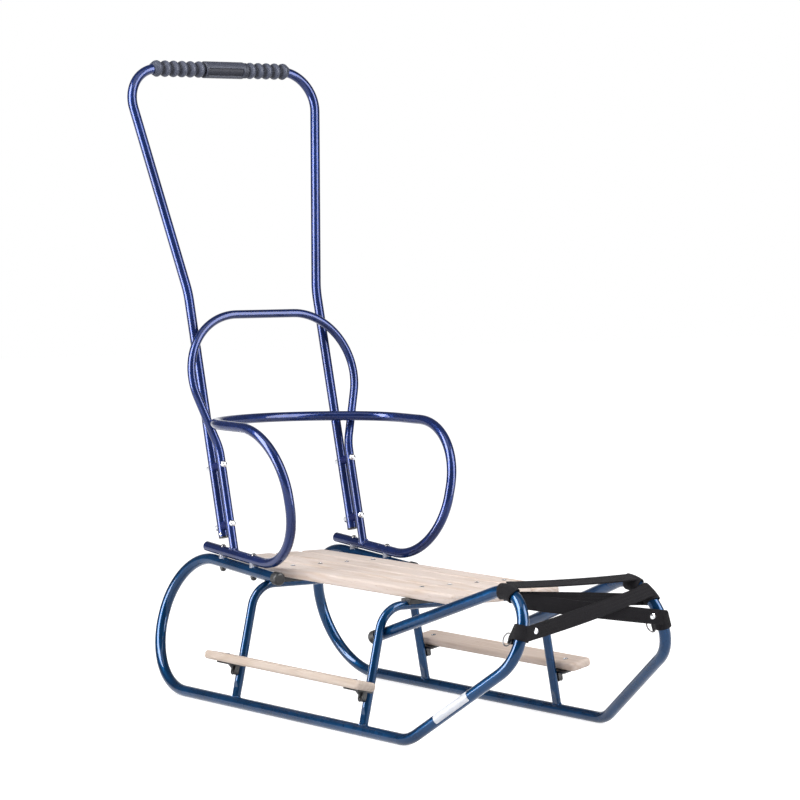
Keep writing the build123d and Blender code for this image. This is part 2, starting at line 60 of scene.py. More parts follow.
LOG = logging.getLogger("sled")
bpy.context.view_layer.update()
SLED = "sled"
SIDES: dict[str, int] = {"right": -1, "left": 1}
SLATS = range(1, 5)
AHEAD, LEFT, UP = np.eye(3)
WHITE: Colour = (1.0, 1.0, 1.0)
SHARP_EDGE = radians(40)
HEAD_ANGLES = 48
DOME_POWER = 2.4
HEX_APOTHEM = 0.42
CROSS_LENGTH = 0.55
CROSS_WIDTH = 0.13
EYE_RADIUS = 0.36
SURFACE = {"Color": "Color", "Height": "Float", "Roughness": "Float"}


class Drive(Enum):
    """A fastener's tool recess; the value is its depth as a share of the head's height."""

    HEX = 0.55
    CROSS = 0.5
    EYE = 0.8


class Slot(Enum):
    """The record's material slot names, passed to new pieces but never read."""

    FRAME = "frame_paint"
    RAIL = "rail_paint"
    BLACK = "black_plastic"
    ZINC = "zinc"
    WEBBING = "webbing"
    RUBBER = "grip_rubber"


class Unseen(Enum):
    """The rays that a lamp is kept from."""

    NONE = ""
    GLOSSY = "visible_glossy"
    DIFFUSE = "visible_diffuse"


# Mesh tools


def unit(v: Array) -> Array:
    """Returns vectors scaled to length one along their last axis."""
    return v / np.linalg.norm(v, axis=-1, keepdims=True)


def turns(count: int) -> Array:
    """Returns angles spread evenly round a circle."""
    return np.linspace(0, 2 * pi, count, endpoint=False)


@dataclass
class Shell:
    """One closed surface: points, faces as index lists, and a flat coordinate for each face corner."""

    points: Array
    faces: list[list[int]]
    corners: Array

    @staticmethod
    def lattice(points: Array, ring: bool, u: Array | None = None, v: Array | None = None) -> "Shell":
        """Skins a grid of points whose columns run round a closed section.

        Quad (i, j) joins rows i, i+1 and columns j, j+1; the last column joins the first. Rows either
        close on themselves too, or end in flat caps.

        Args:
            points: grid of shape (rows, columns, 3).
            ring: whether the last row joins the first.
            u: lengthwise coordinate of each row, with one more value when ring is true; even if left out.
            v: crosswise coordinate of each column, with one more for the closing column; even if left out.

        Returns:
            The closed surface.
        """
        rows, cols = points.shape[:2]
        u = np.linspace(0, 1, rows + ring) if u is None else u
        v = np.linspace(0, 1, cols + 1) if v is None else v
        i, j = np.meshgrid(np.arange(rows if ring else rows - 1), np.arange(cols), indexing="ij")
        i, j = i.ravel(), j.ravel()
        down, over = (i + 1) % rows, (j + 1) % cols
        quads = np.stack([i * cols + j, down * cols + j, down * cols + over, i * cols + over], axis=1)
        across = np.stack([v[j], v[j], v[j + 1], v[j + 1]], axis=1)
        along = np.stack([u[i], u[i + 1], u[i + 1], u[i]], axis=1)
        corners = np.stack([along, across], axis=-1).reshape(-1, 2)
        faces = quads.tolist()
        if not ring:
            faces.append(list(range(cols)))
            faces.append(list(range((rows - 1) * cols, rows * cols)))
            caps = [np.stack([np.full(cols, end), v[:-1]], axis=1) for end in (u[0], u[-1])]
            corners = np.concatenate([corners, *caps])
        return Shell(points.reshape(-1, 3), faces, corners)

    @staticmethod
    def joined(shells: list["Shell"]) -> "Shell":
        """Joins several surfaces as one.

        Args:
            shells: the surfaces.

        Returns:
            One surface with all their faces.
        """
        starts = np.cumsum([0] + [len(s.points) for s in shells]).tolist()
        faces = [[start + k for k in f] for s, start in zip(shells, starts) for f in s.faces]
        points = np.concatenate([s.points for s in shells])
        return Shell(points, faces, np.concatenate([s.corners for s in shells]))

    def piece(self, name: str, finish: Material, slot: Slot | None) -> bpy.types.Object:
        """Makes the surface a piece of the sled.

        Args:
            name: the piece's name.
            finish: its material.
            slot: the record's material slot, where one fits; not used.

        Returns:
            The new object, smooth shaded, with outward faces and a "weave" UV map.
        """
        mesh = bpy.data.meshes.new(name)
        mesh.from_pydata(self.points.tolist(), [], self.faces)
        mesh.uv_layers.new(name="weave").data.foreach_set("uv", self.corners.astype(np.float32).ravel())
        work = bmesh.new()
        work.from_mesh(mesh)
        bmesh.ops.remove_doubles(work, verts=work.verts, dist=1e-7)
        bmesh.ops.recalc_face_normals(work, faces=work.faces)
        work.to_mesh(mesh)
        work.free()
        mesh.shade_smooth()
        mesh.set_sharp_from_angle(angle=SHARP_EDGE)
        mesh.materials.append(finish)
        made = bpy.data.objects.new(name, mesh)
        bpy.context.scene.collection.objects.link(made)
        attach(made, SLED)
        LOG.info("%s: %d faces", name, len(mesh.polygons))
        return made


def turned(radii: Array, heights: Array, place: Array, axis: Array) -> Shell:
    """Turns a section about an axis: point = place + r (cos t e1 + sin t e2) + h axis.

    Args:
        radii: radius of each ring at each angle, shape (rings, angles); a first or last ring of
            zeros is a pole.
        heights: height of each ring at each angle, of the same shape.
        place: where height zero lies on the axis.
        axis: direction of growing height.

    Returns:
        The closed turned surface.
    """
    axis = unit(np.asarray(axis, float))
    e1 = unit(np.cross(axis, AHEAD if abs(axis[0]) < 0.9 else LEFT))
    e2 = np.cross(axis, e1)
    angle = turns(radii.shape[1])[None, :, None]
    ring = np.cos(angle) * e1 + np.sin(angle) * e2
    return Shell.lattice(place + radii[:, :, None] * ring + heights[:, :, None] * axis, False)


def lathe(section: Array, count: int, place: Array, axis: Array) -> Shell:
    """Returns one section of (radius, height) rows turned to count angles, the same at each."""
    rows = np.repeat(section[:, :, None], count, axis=2)
    return turned(rows[:, 0], rows[:, 1], place, axis)


def hexagon(angle: Array, apothem: float) -> Array:
    """Returns a hexagon's radius at each angle: apothem / cos of the angle within a sixth."""
    return apothem / np.cos(np.mod(angle, pi / 3) - pi / 6)


@dataclass(frozen=True)
class Head:
    """A fastener's domed head; the skirt goes down past its seat, into a curved tube."""

    radius: float
    height: float
    skirt: float
    drive: Drive

    def recess(self, angle: Array) -> Array:
        """Finds the recess's edge: for a cross, min(length / cos, width / |sin|) within a quarter.

        Args:
            angle: angles round the head.

        Returns:
            The edge's radius at each angle.
        """
        if self.drive is Drive.HEX:
            return hexagon(angle, HEX_APOTHEM * self.radius)
        if self.drive is Drive.EYE:
            return np.full_like(angle, EYE_RADIUS * self.radius)
        arm = np.mod(angle + pi / 4, pi / 2) - pi / 4
        side = CROSS_WIDTH / np.maximum(np.abs(np.sin(arm)), 1e-3)
        return self.radius * np.minimum(CROSS_LENGTH / np.cos(arm), side)

    def at(self, place: Array, axis: Array) -> Shell:
        """Makes the head: h(r) = height (1 - (r / R)^power) outside the recess, a flat floor in it.

        Args:
            place: centre of the head's seat.
            axis: outward direction.

        Returns:
            The closed head.
        """
        edge = self.recess(turns(HEAD_ANGLES))[None, :]
        flat = np.ones_like(edge)
        dome_r = edge + (self.radius - edge) * np.linspace(0, 1, 9)[:, None]
        dome_h = self.height * (1 - (dome_r / self.radius) ** DOME_POWER)
        floor = self.height * (1 - self.drive.value) * flat
        radii = np.concatenate([0 * flat, 0.94 * edge, dome_r, self.radius * flat, 0 * flat])
        heights = np.concatenate([floor, floor, dome_h, -self.skirt * flat, -self.skirt * flat])
        return turned(radii, heights, place, axis)


def rod(place: Array, axis: Array, radius: float, start: float, stop: float) -> Shell:
    """A plain round rod, its end edges broken by a tenth of its radius.

    Args:
        place: where height zero lies on the axis.
        axis: direction of growing height.
        radius: the rod's radius.
        start: height of its first end.
        stop: height of its second end.

    Returns:
        The closed rod.
    """
    rim = radius * 0.1
    section = np.array([[0, start], [radius - rim, start], [radius, start + rim], [radius, stop - rim],
                        [radius - rim, stop], [0, stop]])
    return lathe(section, 32, place, axis)


def hex_nut(place: Array, axis: Array, radius: float, skirt: float, height: float) -> Shell:
    """A hexagon nut, its corners cut by a cone at the top.

    Args:
        place: centre of the nut's seat.
        axis: outward direction.
        radius: corner radius.
        skirt: how far the side goes down past the seat.
        height: height over the seat.

    Returns:
        The closed nut.
    """
    edge = hexagon(turns(72), radius * cos(pi / 6))
    cone = np.minimum(edge, radius * 0.93)
    radii = np.stack([0 * edge, edge, edge, cone, cone * 0.9, 0 * edge])
    levels = np.array([-skirt, -skirt, height * 0.88, height * 0.97, height, height])
    return turned(radii, np.broadcast_to(levels[:, None], radii.shape), place, axis)


def bead(path: Array, radius: Array, reference: Array) -> Shell:
    """A round bead along a closed path: point = path + r (cos t n + sin t b), n = tangent x reference.

    Args:
        path: closed path, shape (n, 3).
        radius: bead radius at each point, shape (n,).
        reference: a vector never along the path.

    Returns:
        The closed bead.
    """
    tangent = unit(np.roll(path, -1, axis=0) - np.roll(path, 1, axis=0))
    normal = unit(np.cross(tangent, reference))
    third = np.cross(tangent, normal)
    angle = turns(12)[None, :, None]
    section = np.cos(angle) * normal[:, None, :] + np.sin(angle) * third[:, None, :]
    return Shell.lattice(path[:, None, :] + radius[:, None, None] * section, True)


# Shader tools


class Tree:
    """Writes nodes into a shader tree."""

    def __init__(self, tree: bpy.types.NodeTree) -> None:
        """Takes the tree to write into."""
        self.tree = tree

    @property
    def place(self) -> Socket:
        """A point's place in its object."""
        return self.add("TexCoord").outputs["Object"]

    def add(self, kind: str, settings: dict[str, object] | None = None, **inputs: object) -> Node:
        """Adds a node and sets or links its inputs.

        Args:
            kind: the node's type name after "ShaderNode".
            settings: properties of the node itself.
            inputs: socket values or output sockets, by socket name with _ for a space.

        Returns:
            The node.
        """
        node = self.tree.nodes.new("ShaderNode" + kind)
        for key, value in (settings or {}).items():
            setattr(node, key, value)
        for key, value in inputs.items():
            self.feed(node.inputs[key.replace("_", " ")], value)
        return node

    def feed(self, socket: Socket, value: object) -> None:
        """Links an output to a socket, or sets the socket's constant.

        Args:
            socket: the input socket.
            value: an output socket or a constant; a colour has three numbers.
        """
        if isinstance(value, Socket):
            self.tree.links.new(value, socket)
        elif socket.type == "RGBA":
            socket.default_value = (*value, 1.0)
        else:
            socket.default_value = value

    def fed(self, kind: str, settings: dict[str, object], places: tuple[int, ...], values: tuple) -> Node:
        """Adds a node whose inputs go by number.

        Args:
            kind: the node's type name after "ShaderNode".
            settings: properties of the node itself.
            places: the numbers of its inputs.
            values: what each of them is fed.

        Returns:
            The node.
        """
        node = self.add(kind, settings)
        for place, value in zip(places, values):
            self.feed(node.inputs[place], value)
        return node

    def math(self, how: str, *values: object) -> Socket:
        """Returns the output of a Math node."""
        return self.fed("Math", {"operation": how}, (0, 1, 2), values).outputs[0]

    def vector(self, how: str, *values: object) -> Node:
        """Returns a Vector Math node."""
        return self.fed("VectorMath", {"operation": how}, (0, 1, 2), values)

    def mix(self, share: object, a: object, b: object) -> Socket:
        """Returns the output of a colour Mix node."""
        return self.fed("Mix", {"data_type": "RGBA"}, (0, 6, 7), (share, a, b)).outputs[2]

    def blend(self, share: object, a: object, b: object) -> Socket:
        """Returns the output of a Mix Shader node."""
        return self.fed("MixShader", {}, (0, 1, 2), (share, a, b)).outputs[0]

    def ramp(self, value: object, low: float, high: float, to_low: object = 0.0,
             to_high: object = 1.0) -> Socket:
        """Returns value mapped smoothly from low..high to to_low..to_high."""
        return self.add("MapRange", {"interpolation_type": "SMOOTHSTEP"}, Value=value, From_Min=low,
                        From_Max=high, To_Min=to_low, To_Max=to_high).outputs["Result"]

    def noise(self, vector: Socket, scale: object, detail: float = 3.0, rough: float = 0.5) -> Socket:
        """Returns the value of a noise texture."""
        return self.add("TexNoise", None, Vector=vector, Scale=scale, Detail=detail,
                        Roughness=rough).outputs[0]

    def scaled(self, vector: Socket, *scale: float) -> Socket:
        """Returns a vector scaled along each axis."""
        return self.add("Mapping", None, Vector=vector, Scale=scale).outputs[0]

    def swell(self, value: Socket, pitch: object) -> Socket:
        """Returns a wave from 0 to 1 that repeats with each pitch of the value."""
        turn = self.math("MULTIPLY", self.math("DIVIDE", value, pitch), 2 * pi)
        return self.math("MULTIPLY_ADD", self.math("SINE", turn), 0.5, 0.5)


def group(name: str, outputs: dict[str, str], **inputs: str) -> tuple[Tree, dict, dict]:
    """Starts a shader node group.

    Args:
        name: the group's name.
        outputs: socket kind by name.
        inputs: socket kind by name.

    Returns:
        The group's tree, its input sockets by name and its output sockets by name.
    """
    tree = bpy.data.node_groups.new(name, "ShaderNodeTree")
    for way, sockets in (("INPUT", inputs), ("OUTPUT", outputs)):
        for key, kind in sockets.items():
            tree.interface.new_socket(name=key, in_out=way, socket_type="NodeSocket" + kind)
    given = tree.nodes.new("NodeGroupInput").outputs
    made = tree.nodes.new("NodeGroupOutput").inputs
    return Tree(tree), {s.name: s for s in given if s.name}, {s.name: s for s in made if s.name}


class Effects:
    """Shared surface effects, each a node group built once."""

    def __init__(self) -> None:
        """Builds every group."""
        self.flake = self._flake()
        self.relief = self._relief()
        self.birch = self._birch()
        self.weave = self._weave()
        self.groove_shade = self._groove_shade()

    @staticmethod
    def _flake() -> bpy.types.NodeTree:
        """Candy paint: two tones clouded by fine flakes and slow pooling, and the orange peel's height."""
        tree, given, made = group("candy flakes", SURFACE, Deep="Color", Bright="Color")
        place = tree.place
        grains = tree.add("TexVoronoi", None, Vector=place, Scale=2600.0).outputs["Color"]
        sparkle = tree.add("SeparateColor", None, Color=grains).outputs[0]
        pooled = tree.ramp(tree.noise(place, 14.0, 2.0), 0.3, 0.7, 0.25, 0.60)
        share = tree.math("ADD", tree.math("MULTIPLY", sparkle, 0.05), pooled)
        tree.feed(made["Color"], tree.mix(share, given["Deep"], given["Bright"]))
        tree.feed(made["Height"], tree.noise(place, 420.0, 2.0))
        tree.feed(made["Roughness"], tree.ramp(tree.noise(place, 60.0, 4.0), 0.35, 0.75, 0.26, 0.36))
        return tree.tree

    @staticmethod
    def _relief() -> bpy.types.NodeTree:
        """Moulded or plated surface: fine pimples, slow unevenness and dulled patches."""
        tree, given, made = group("moulded relief", SURFACE, Scale="Float", Dark="Color", Pale="Color",
                                  Shiny="Float", Dull="Float")
        place = tree.place
        fine = tree.noise(place, given["Scale"], 3.0, 0.6)
        slow = tree.noise(place, 45.0, 4.0)
        tone = tree.ramp(tree.math("ADD", fine, slow), 0.75, 1.3)
        patches = tree.ramp(slow, 0.4, 0.7)
        tree.feed(made["Color"], tree.mix(tone, given["Dark"], given["Pale"]))
        tree.feed(made["Height"], tree.math("ADD", fine, tree.math("MULTIPLY", slow, 0.5)))
        tree.feed(made["Roughness"], tree.ramp(patches, 0.0, 1.0, given["Shiny"], given["Dull"]))
        return tree.tree

    @staticmethod
    def _birch() -> bpy.types.NodeTree:
        """Planed birch sawn along X: bent growth rings, long fibres, short dark flecks and pale figure."""
        tree, given, made = group("birch grain", SURFACE, Offset="Vector", Pale="Color", Ring="Color",
                                  Fleck="Color")
        here = tree.vector("ADD", tree.place, given["Offset"]).outputs[0]
        slow = tree.scaled(here, 1.6, 9.0, 9.0)
        warp = tree.add("TexNoise", None, Vector=slow, Scale=2.2, Detail=2.0).outputs["Color"]
        bent = tree.vector("MULTIPLY_ADD", warp, (0.0, 0.05, 0.05), here).outputs[0]
        wave = tree.add("TexWave", {"wave_type": "RINGS", "rings_direction": "X"},
                        Vector=tree.scaled(bent, 0.35, 1.0, 1.0), Scale=46.0, Distortion=1.4, Detail=2.0,
                        Detail_Scale=1.2).outputs["Fac"]
        fibre = tree.noise(tree.scaled(here, 14.0, 620.0, 620.0), 1.0, 4.0, 0.65)
        flecks = tree.ramp(tree.noise(tree.scaled(here, 60.0, 900.0, 900.0), 1.0, 1.0), 0.68, 0.78)
        figure = tree.ramp(tree.noise(slow, 5.0, 2.0), 0.35, 0.7)
        share = tree.math("MULTIPLY", wave, tree.math("MULTIPLY_ADD", figure, 0.5, 0.15))
        ringed = tree.mix(share, given["Pale"], given["Ring"])
        streaked = tree.mix(tree.ramp(fibre, 0.35, 0.8, 0.0, 0.35), ringed, given["Ring"])
        tree.feed(made["Color"], tree.mix(tree.math("MULTIPLY", flecks, 0.55), streaked, given["Fleck"]))
        tree.feed(made["Height"], tree.math("SUBTRACT", fibre, tree.math("MULTIPLY", flecks, 0.5)))
        tree.feed(made["Roughness"], tree.ramp(fibre, 0.3, 0.8, 0.5, 0.66))
        return tree.tree

    @staticmethod
    def _groove_shade() -> bpy.types.NodeTree:
        """Grip rubber by a per-point share: painted shade dark in grooves and sunk panel, painted highlight
        on ribs.
        """
        tree, given, made = group("rubber with painted groove shade", SURFACE, Groove="Color", Raised="Color")
        place = tree.place
        lit_share = tree.add("Attribute", {"attribute_name": "lit_share"}).outputs["Fac"]
        patchy = tree.math("ADD", lit_share, tree.ramp(tree.noise(place, 120.0, 4.0), 0.3, 0.7, -0.04, 0.04))
        tree.feed(made["Color"], tree.mix(tree.ramp(patchy, 0.05, 1.0), given["Groove"], given["Raised"]))
        tree.feed(made["Height"], tree.noise(place, 1300.0, 3.0, 0.6))
        tree.feed(made["Roughness"], tree.ramp(patchy, 0.0, 1.0, 0.55, 0.36))
        return tree.tree

    @staticmethod
    def _weave() -> bpy.types.NodeTree:
        """Herringbone webbing on the weave map: ribs that slant to and fro, with thread rows across."""
        tree, given, made = group("herringbone webbing", {"Color": "Color", "Height": "Float"},
                                  Rib="Float", Dark="Color", Pale="Color")
        flat = tree.add("UVMap", {"uv_map": "weave"}).outputs[0]
        split = tree.add("SeparateXYZ", None, Vector=flat).outputs
        folded = tree.math("PINGPONG", split["Y"], 0.0031)
        rib = tree.swell(tree.math("MULTIPLY_ADD", folded, 1.3, split["X"]), given["Rib"])
        rows = tree.swell(split["Y"], 0.00155)
        fuzz = tree.math("MULTIPLY", tree.noise(tree.place, 1500.0, 2.0), 0.3)
        height = tree.math("MULTIPLY_ADD", rib, 0.7, tree.math("MULTIPLY", rows, 0.45))
        shade = tree.math("MULTIPLY_ADD", height, 0.6, fuzz)
        tree.feed(made["Color"], tree.mix(tree.ramp(shade, 0.1, 1.0), given["Dark"], given["Pale"]))
        tree.feed(made["Height"], tree.math("ADD", height, fuzz))
        return tree.tree


def new_material(name: str) -> tuple[Material, Tree, Node]:
    """Starts a node material.

    Args:
        name: the material's name.

    Returns:
        The material, its tree and its Principled BSDF.
    """
    material = bpy.data.materials.new(name)
    material.use_nodes = True
    return material, Tree(material.node_tree), material.node_tree.nodes["Principled BSDF"]


def surfaced(name: str, effect: bpy.types.NodeTree, depth: float, values: dict[str, object],
             **sockets: float) -> Material:
    """Makes a material from a shared effect.

    Args:
        name: the material's name.
        effect: the node group that gives its colour, its height and, if it has one, its roughness.
        depth: the depth of that height.
        values: the group's inputs by name.
        sockets: constants of the Principled BSDF, by socket name with _ for a space.

    Returns:
        The material.
    """
    material, tree, shader = new_material(name)
    node = tree.add("Group")
    node.node_tree = effect
    for key, value in values.items():
        tree.feed(node.inputs[key], value)
    for key, value in sockets.items():
        shader.inputs[key.replace("_", " ")].default_value = value
    tree.feed(shader.inputs["Base Color"], node.outputs["Color"])
    if "Roughness" in node.outputs:
        tree.feed(shader.inputs["Roughness"], node.outputs["Roughness"])
    relief = tree.add("Bump", None, Height=node.outputs["Height"], Strength=1.0, Distance=depth)
    tree.feed(shader.inputs["Normal"], relief.outputs[0])
    return material


class Finishes:
    """Every finish of the sled, made once."""

    def __init__(self) -> None:
        """Makes the materials."""
        self.effects = Effects()
        self.frame = self.candy("petrol candy paint", (0.0010, 0.016, 0.054), (0.004, 0.062, 0.178))
        self.rail = self.candy("violet candy paint", (0.007, 0.013, 0.058), (0.019, 0.042, 0.178))
        self.slats = [self.birch(f"birch slat {n}", (0.37 * n, 0.011 * n, 0.05 * n)) for n in SLATS]
        # Painted light: the far left plank gets paler birch and the near right one darker, to even out how
        # the lamps fall.
        painted_light_tones = {"right": ((0.67, 0.565, 0.49), (0.51, 0.39, 0.30)),
                 "left": ((0.80, 0.67, 0.59), (0.64, 0.49, 0.39))}
        self.planks = {side: self.birch(f"birch plank {side}", (1.9 + 0.3 * way, 0.07 * way, 0.02),
                                        *painted_light_tones[side]) for side, way in SIDES.items()}
        self.black = self.moulded("black moulded plastic", (0.007, 0.007, 0.008), (0.018, 0.018, 0.020),
                                  1500.0, 0.00003, (0.38, 0.52))
        self.spacer = self.moulded("blue-black spacer plastic", (0.012, 0.018, 0.090), (0.020, 0.032, 0.150),
                                   900.0, 0.00002, (0.40, 0.52), Specular_IOR_Level=0.05)
        self.clear = self.moulded("milky plastic", (0.36, 0.38, 0.46), (0.50, 0.52, 0.60),
                                  700.0, 0.00004, (0.22, 0.34), Transmission_Weight=0.45)
        self.bracket = self.moulded("black bracket enamel", (0.005, 0.005, 0.007), (0.012, 0.012, 0.016),
                                    500.0, 0.00002, (0.28, 0.42))
        # The grip's dark groove colour is painted shade; its pale rib colour is a painted highlight.
        groove_shade = {"Groove": (0.022, 0.024, 0.035), "Raised": (0.098, 0.108, 0.150)}
        self.rubber = surfaced("grey grip rubber", self.effects.groove_shade, 0.000006, groove_shade,
                               Specular_IOR_Level=0.2)
        self.zinc = self.moulded("zinc plate", (0.56, 0.57, 0.60), (0.80, 0.81, 0.84),
                                 260.0, 0.00002, (0.20, 0.34), Metallic=1.0)
        self.steel = self.moulded("darkened ring steel", (0.085, 0.082, 0.085), (0.17, 0.165, 0.165),
                                  400.0, 0.00002, (0.24, 0.36), Metallic=1.0)
        self.paper = self.moulded("blank white sticker", (0.66, 0.68, 0.74), (0.76, 0.78, 0.83),
                                  1200.0, 0.00002, (0.34, 0.46))
        woven = {"Rib": 0.0016, "Dark": (0.005, 0.005, 0.006), "Pale": (0.026, 0.024, 0.028)}
        self.webbing = surfaced("black webbing", self.effects.weave, 0.00035, woven, Roughness=0.7,
                                Specular_IOR_Level=0.06, Sheen_Weight=0.04, Sheen_Roughness=0.4)

    def candy(self, name: str, deep: Colour, bright: Colour) -> Material:
        """Returns glossy transparent paint over a bright ground."""
        return surfaced(name, self.effects.flake, 0.000001, {"Deep": deep, "Bright": bright}, Metallic=0.45,
                        Specular_IOR_Level=0.0, Coat_Weight=1.0, Coat_Roughness=0.03, Coat_IOR=1.36)

    def birch(self, name: str, offset: Triple, pale: Colour = (0.76, 0.655, 0.60),
              ring: Colour = (0.60, 0.46, 0.36)) -> Material:
        """Returns planed, lightly oiled birch, cut from its own place in the board."""
        values = {"Offset": offset, "Pale": pale, "Ring": ring, "Fleck": (0.42, 0.29, 0.21)}
        return surfaced(name, self.effects.birch, 0.00012, values, Specular_IOR_Level=0.12)

    def moulded(self, name: str, dark: Colour, pale: Colour, scale: float, depth: float, gloss: Pair,
                **sockets: float) -> Material:
        """Returns moulded plastic or plated steel: a relief, two near tones and a range of roughness."""
        values = {"Scale": scale, "Dark": dark, "Pale": pale, "Shiny": gloss[0], "Dull": gloss[1]}
        return surfaced(name, self.effects.relief, depth, values, **sockets)


# The sled


@dataclass
class Layout:
    """The sizes of the CAD model that new pieces are placed by."""

    middle: float = -0.00041
    track: float = 0.380
    runner_r: float = 0.009
    arm_r: float = 0.008
    handle_r: float = 0.008
    tube_r: float = 0.007
    weld_gap: float = 0.0002
    rear_arch_back: float = 0.159
    arch_spacing: float = 0.342
    arch_top_z: float = 0.194
    arch_inset: float = 0.038
    rear_lean: float = 0.285
    rear_slope: float = 0.07
    runner_front: float = 0.494
    corner_front: float = 0.298
    diagonal_slope: float = 0.685
    return_slope: float = 0.361
    return_cross_z: float = 0.155
    curl_bend: float = 0.063
    back_tilt: float = radians(15.3)
    back_foot_back: float = 0.257
    back_foot_z: float = 0.2475
    back_leg_in: float = 0.0615
    handle_spacer: float = 0.010
    bolt_head_h: float = 0.004

    @property
    def arches(self) -> dict[str, float]:
        """X of each arch."""
        rear = self.middle - self.rear_arch_back
        return {"rear": rear, "front": rear + self.arch_spacing}

    @property
    def leg_lean(self) -> float:
        """How far a leg leans in for each metre up."""
        return self.arch_inset / (self.arch_top_z - self.runner_r)

    @property
    def front_lean(self) -> float:
        """How far a runner's front half leans in for each metre up, so that its return touches the leg."""
        gap = self.runner_r + self.tube_r + self.weld_gap
        run = sqrt((self.return_cross_z - self.runner_r) ** 2 - (self.return_slope * gap) ** 2)
        return self.leg_lean + gap * hypot(1, self.leg_lean) / run

    @property
    def front_x(self) -> float:
        """X of the curl's upright tangent."""
        return self.middle + self.runner_front

    @property
    def handle_behind(self) -> float:
        """How far the handle's axis lies behind the backrest's plane."""
        return self.tube_r + self.handle_spacer + self.handle_r

    @property
    def back_normal(self) -> Array:
        """Direction square to the backrest's plane, to the front."""
        return np.array([cos(self.back_tilt), 0.0, sin(self.back_tilt)])

    @property
    def curl_centre_z(self) -> float:
        """Height of the curl's centre: the return's line less the bend's setback up the leaning plane."""
        lean = self.front_lean
        into = unit(np.array([0.0, -lean, 1.0]))
        out = unit(np.array([-1.0, lean * self.return_slope, -self.return_slope]))
        setback = self.curl_bend * tan(np.arccos(into @ out) / 2)
        top = self.return_cross_z + self.return_slope * (self.front_x - self.arches["front"])
        return top - setback / hypot(1, lean)

    def leg_axis(self, side: int) -> Array:
        """Returns the direction up a leg."""
        return unit(np.array([0.0, -side * self.leg_lean, 1.0]))

    def leg_foot(self, x: float, side: int) -> Array:
        """Returns where an arch's leg meets the runner's axis."""
        return np.array([x, side * self.track / 2, self.runner_r])

    def on_front(self, x: float, z: float, side: int) -> Array:
        """Returns a point of a runner's front half."""
        return np.array([x, side * (self.track / 2 - self.front_lean * (z - self.runner_r)), z])

    def on_back(self, y: float, z: float, behind: float = 0.0) -> Array:
        """Returns a point of the backrest's plane, or that far behind it."""
        x = self.middle - self.back_foot_back - (z - self.back_foot_z) * tan(self.back_tilt)
        return np.array([x - behind / cos(self.back_tilt), y, z])

    def on_leg(self, side: int, z: float, behind: float = 0.0) -> Array:
        """Returns a point of a backrest leg's axis, or that far behind it."""
        return self.on_back(side * (self.track / 2 - self.back_leg_in), z, behind)

    def arm_axis(self, x: float, side: int) -> Array:
        """Finds an arm tube's lower straight from the clamp bolt that passes through it.

        Args:
            x: where along the sled.
            side: -1 for right, 1 for left.

        Returns:
            The point of the tube's axis.
        """
        low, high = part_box(f"arm_bolt_rear_{'left' if side > 0 else 'right'}")
        bolt = (np.array(low) + np.array(high)) / 2
        drop = -self.rear_slope * (x - bolt[0])
        z = high[2] - self.bolt_head_h - self.arm_r + drop
        return np.array([x, bolt[1] - side * self.rear_lean * drop, z])


@dataclass
class Section:
    """One section of the sled, with the layout and finishes that its pieces share."""

    layout: Layout
    finishes: Finishes

    @staticmethod
    def paint(finish: Material, *starts: str) -> None:
        """Gives CAD nodes their finish.

        Args:
            finish: the material.
            starts: how the nodes' names start.
        """
        for name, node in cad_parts.items():
            if name.startswith(starts):
                node.data.materials.clear()
                node.data.materials.append(finish)
                LOG.info("%s: %s", name, finish.name)


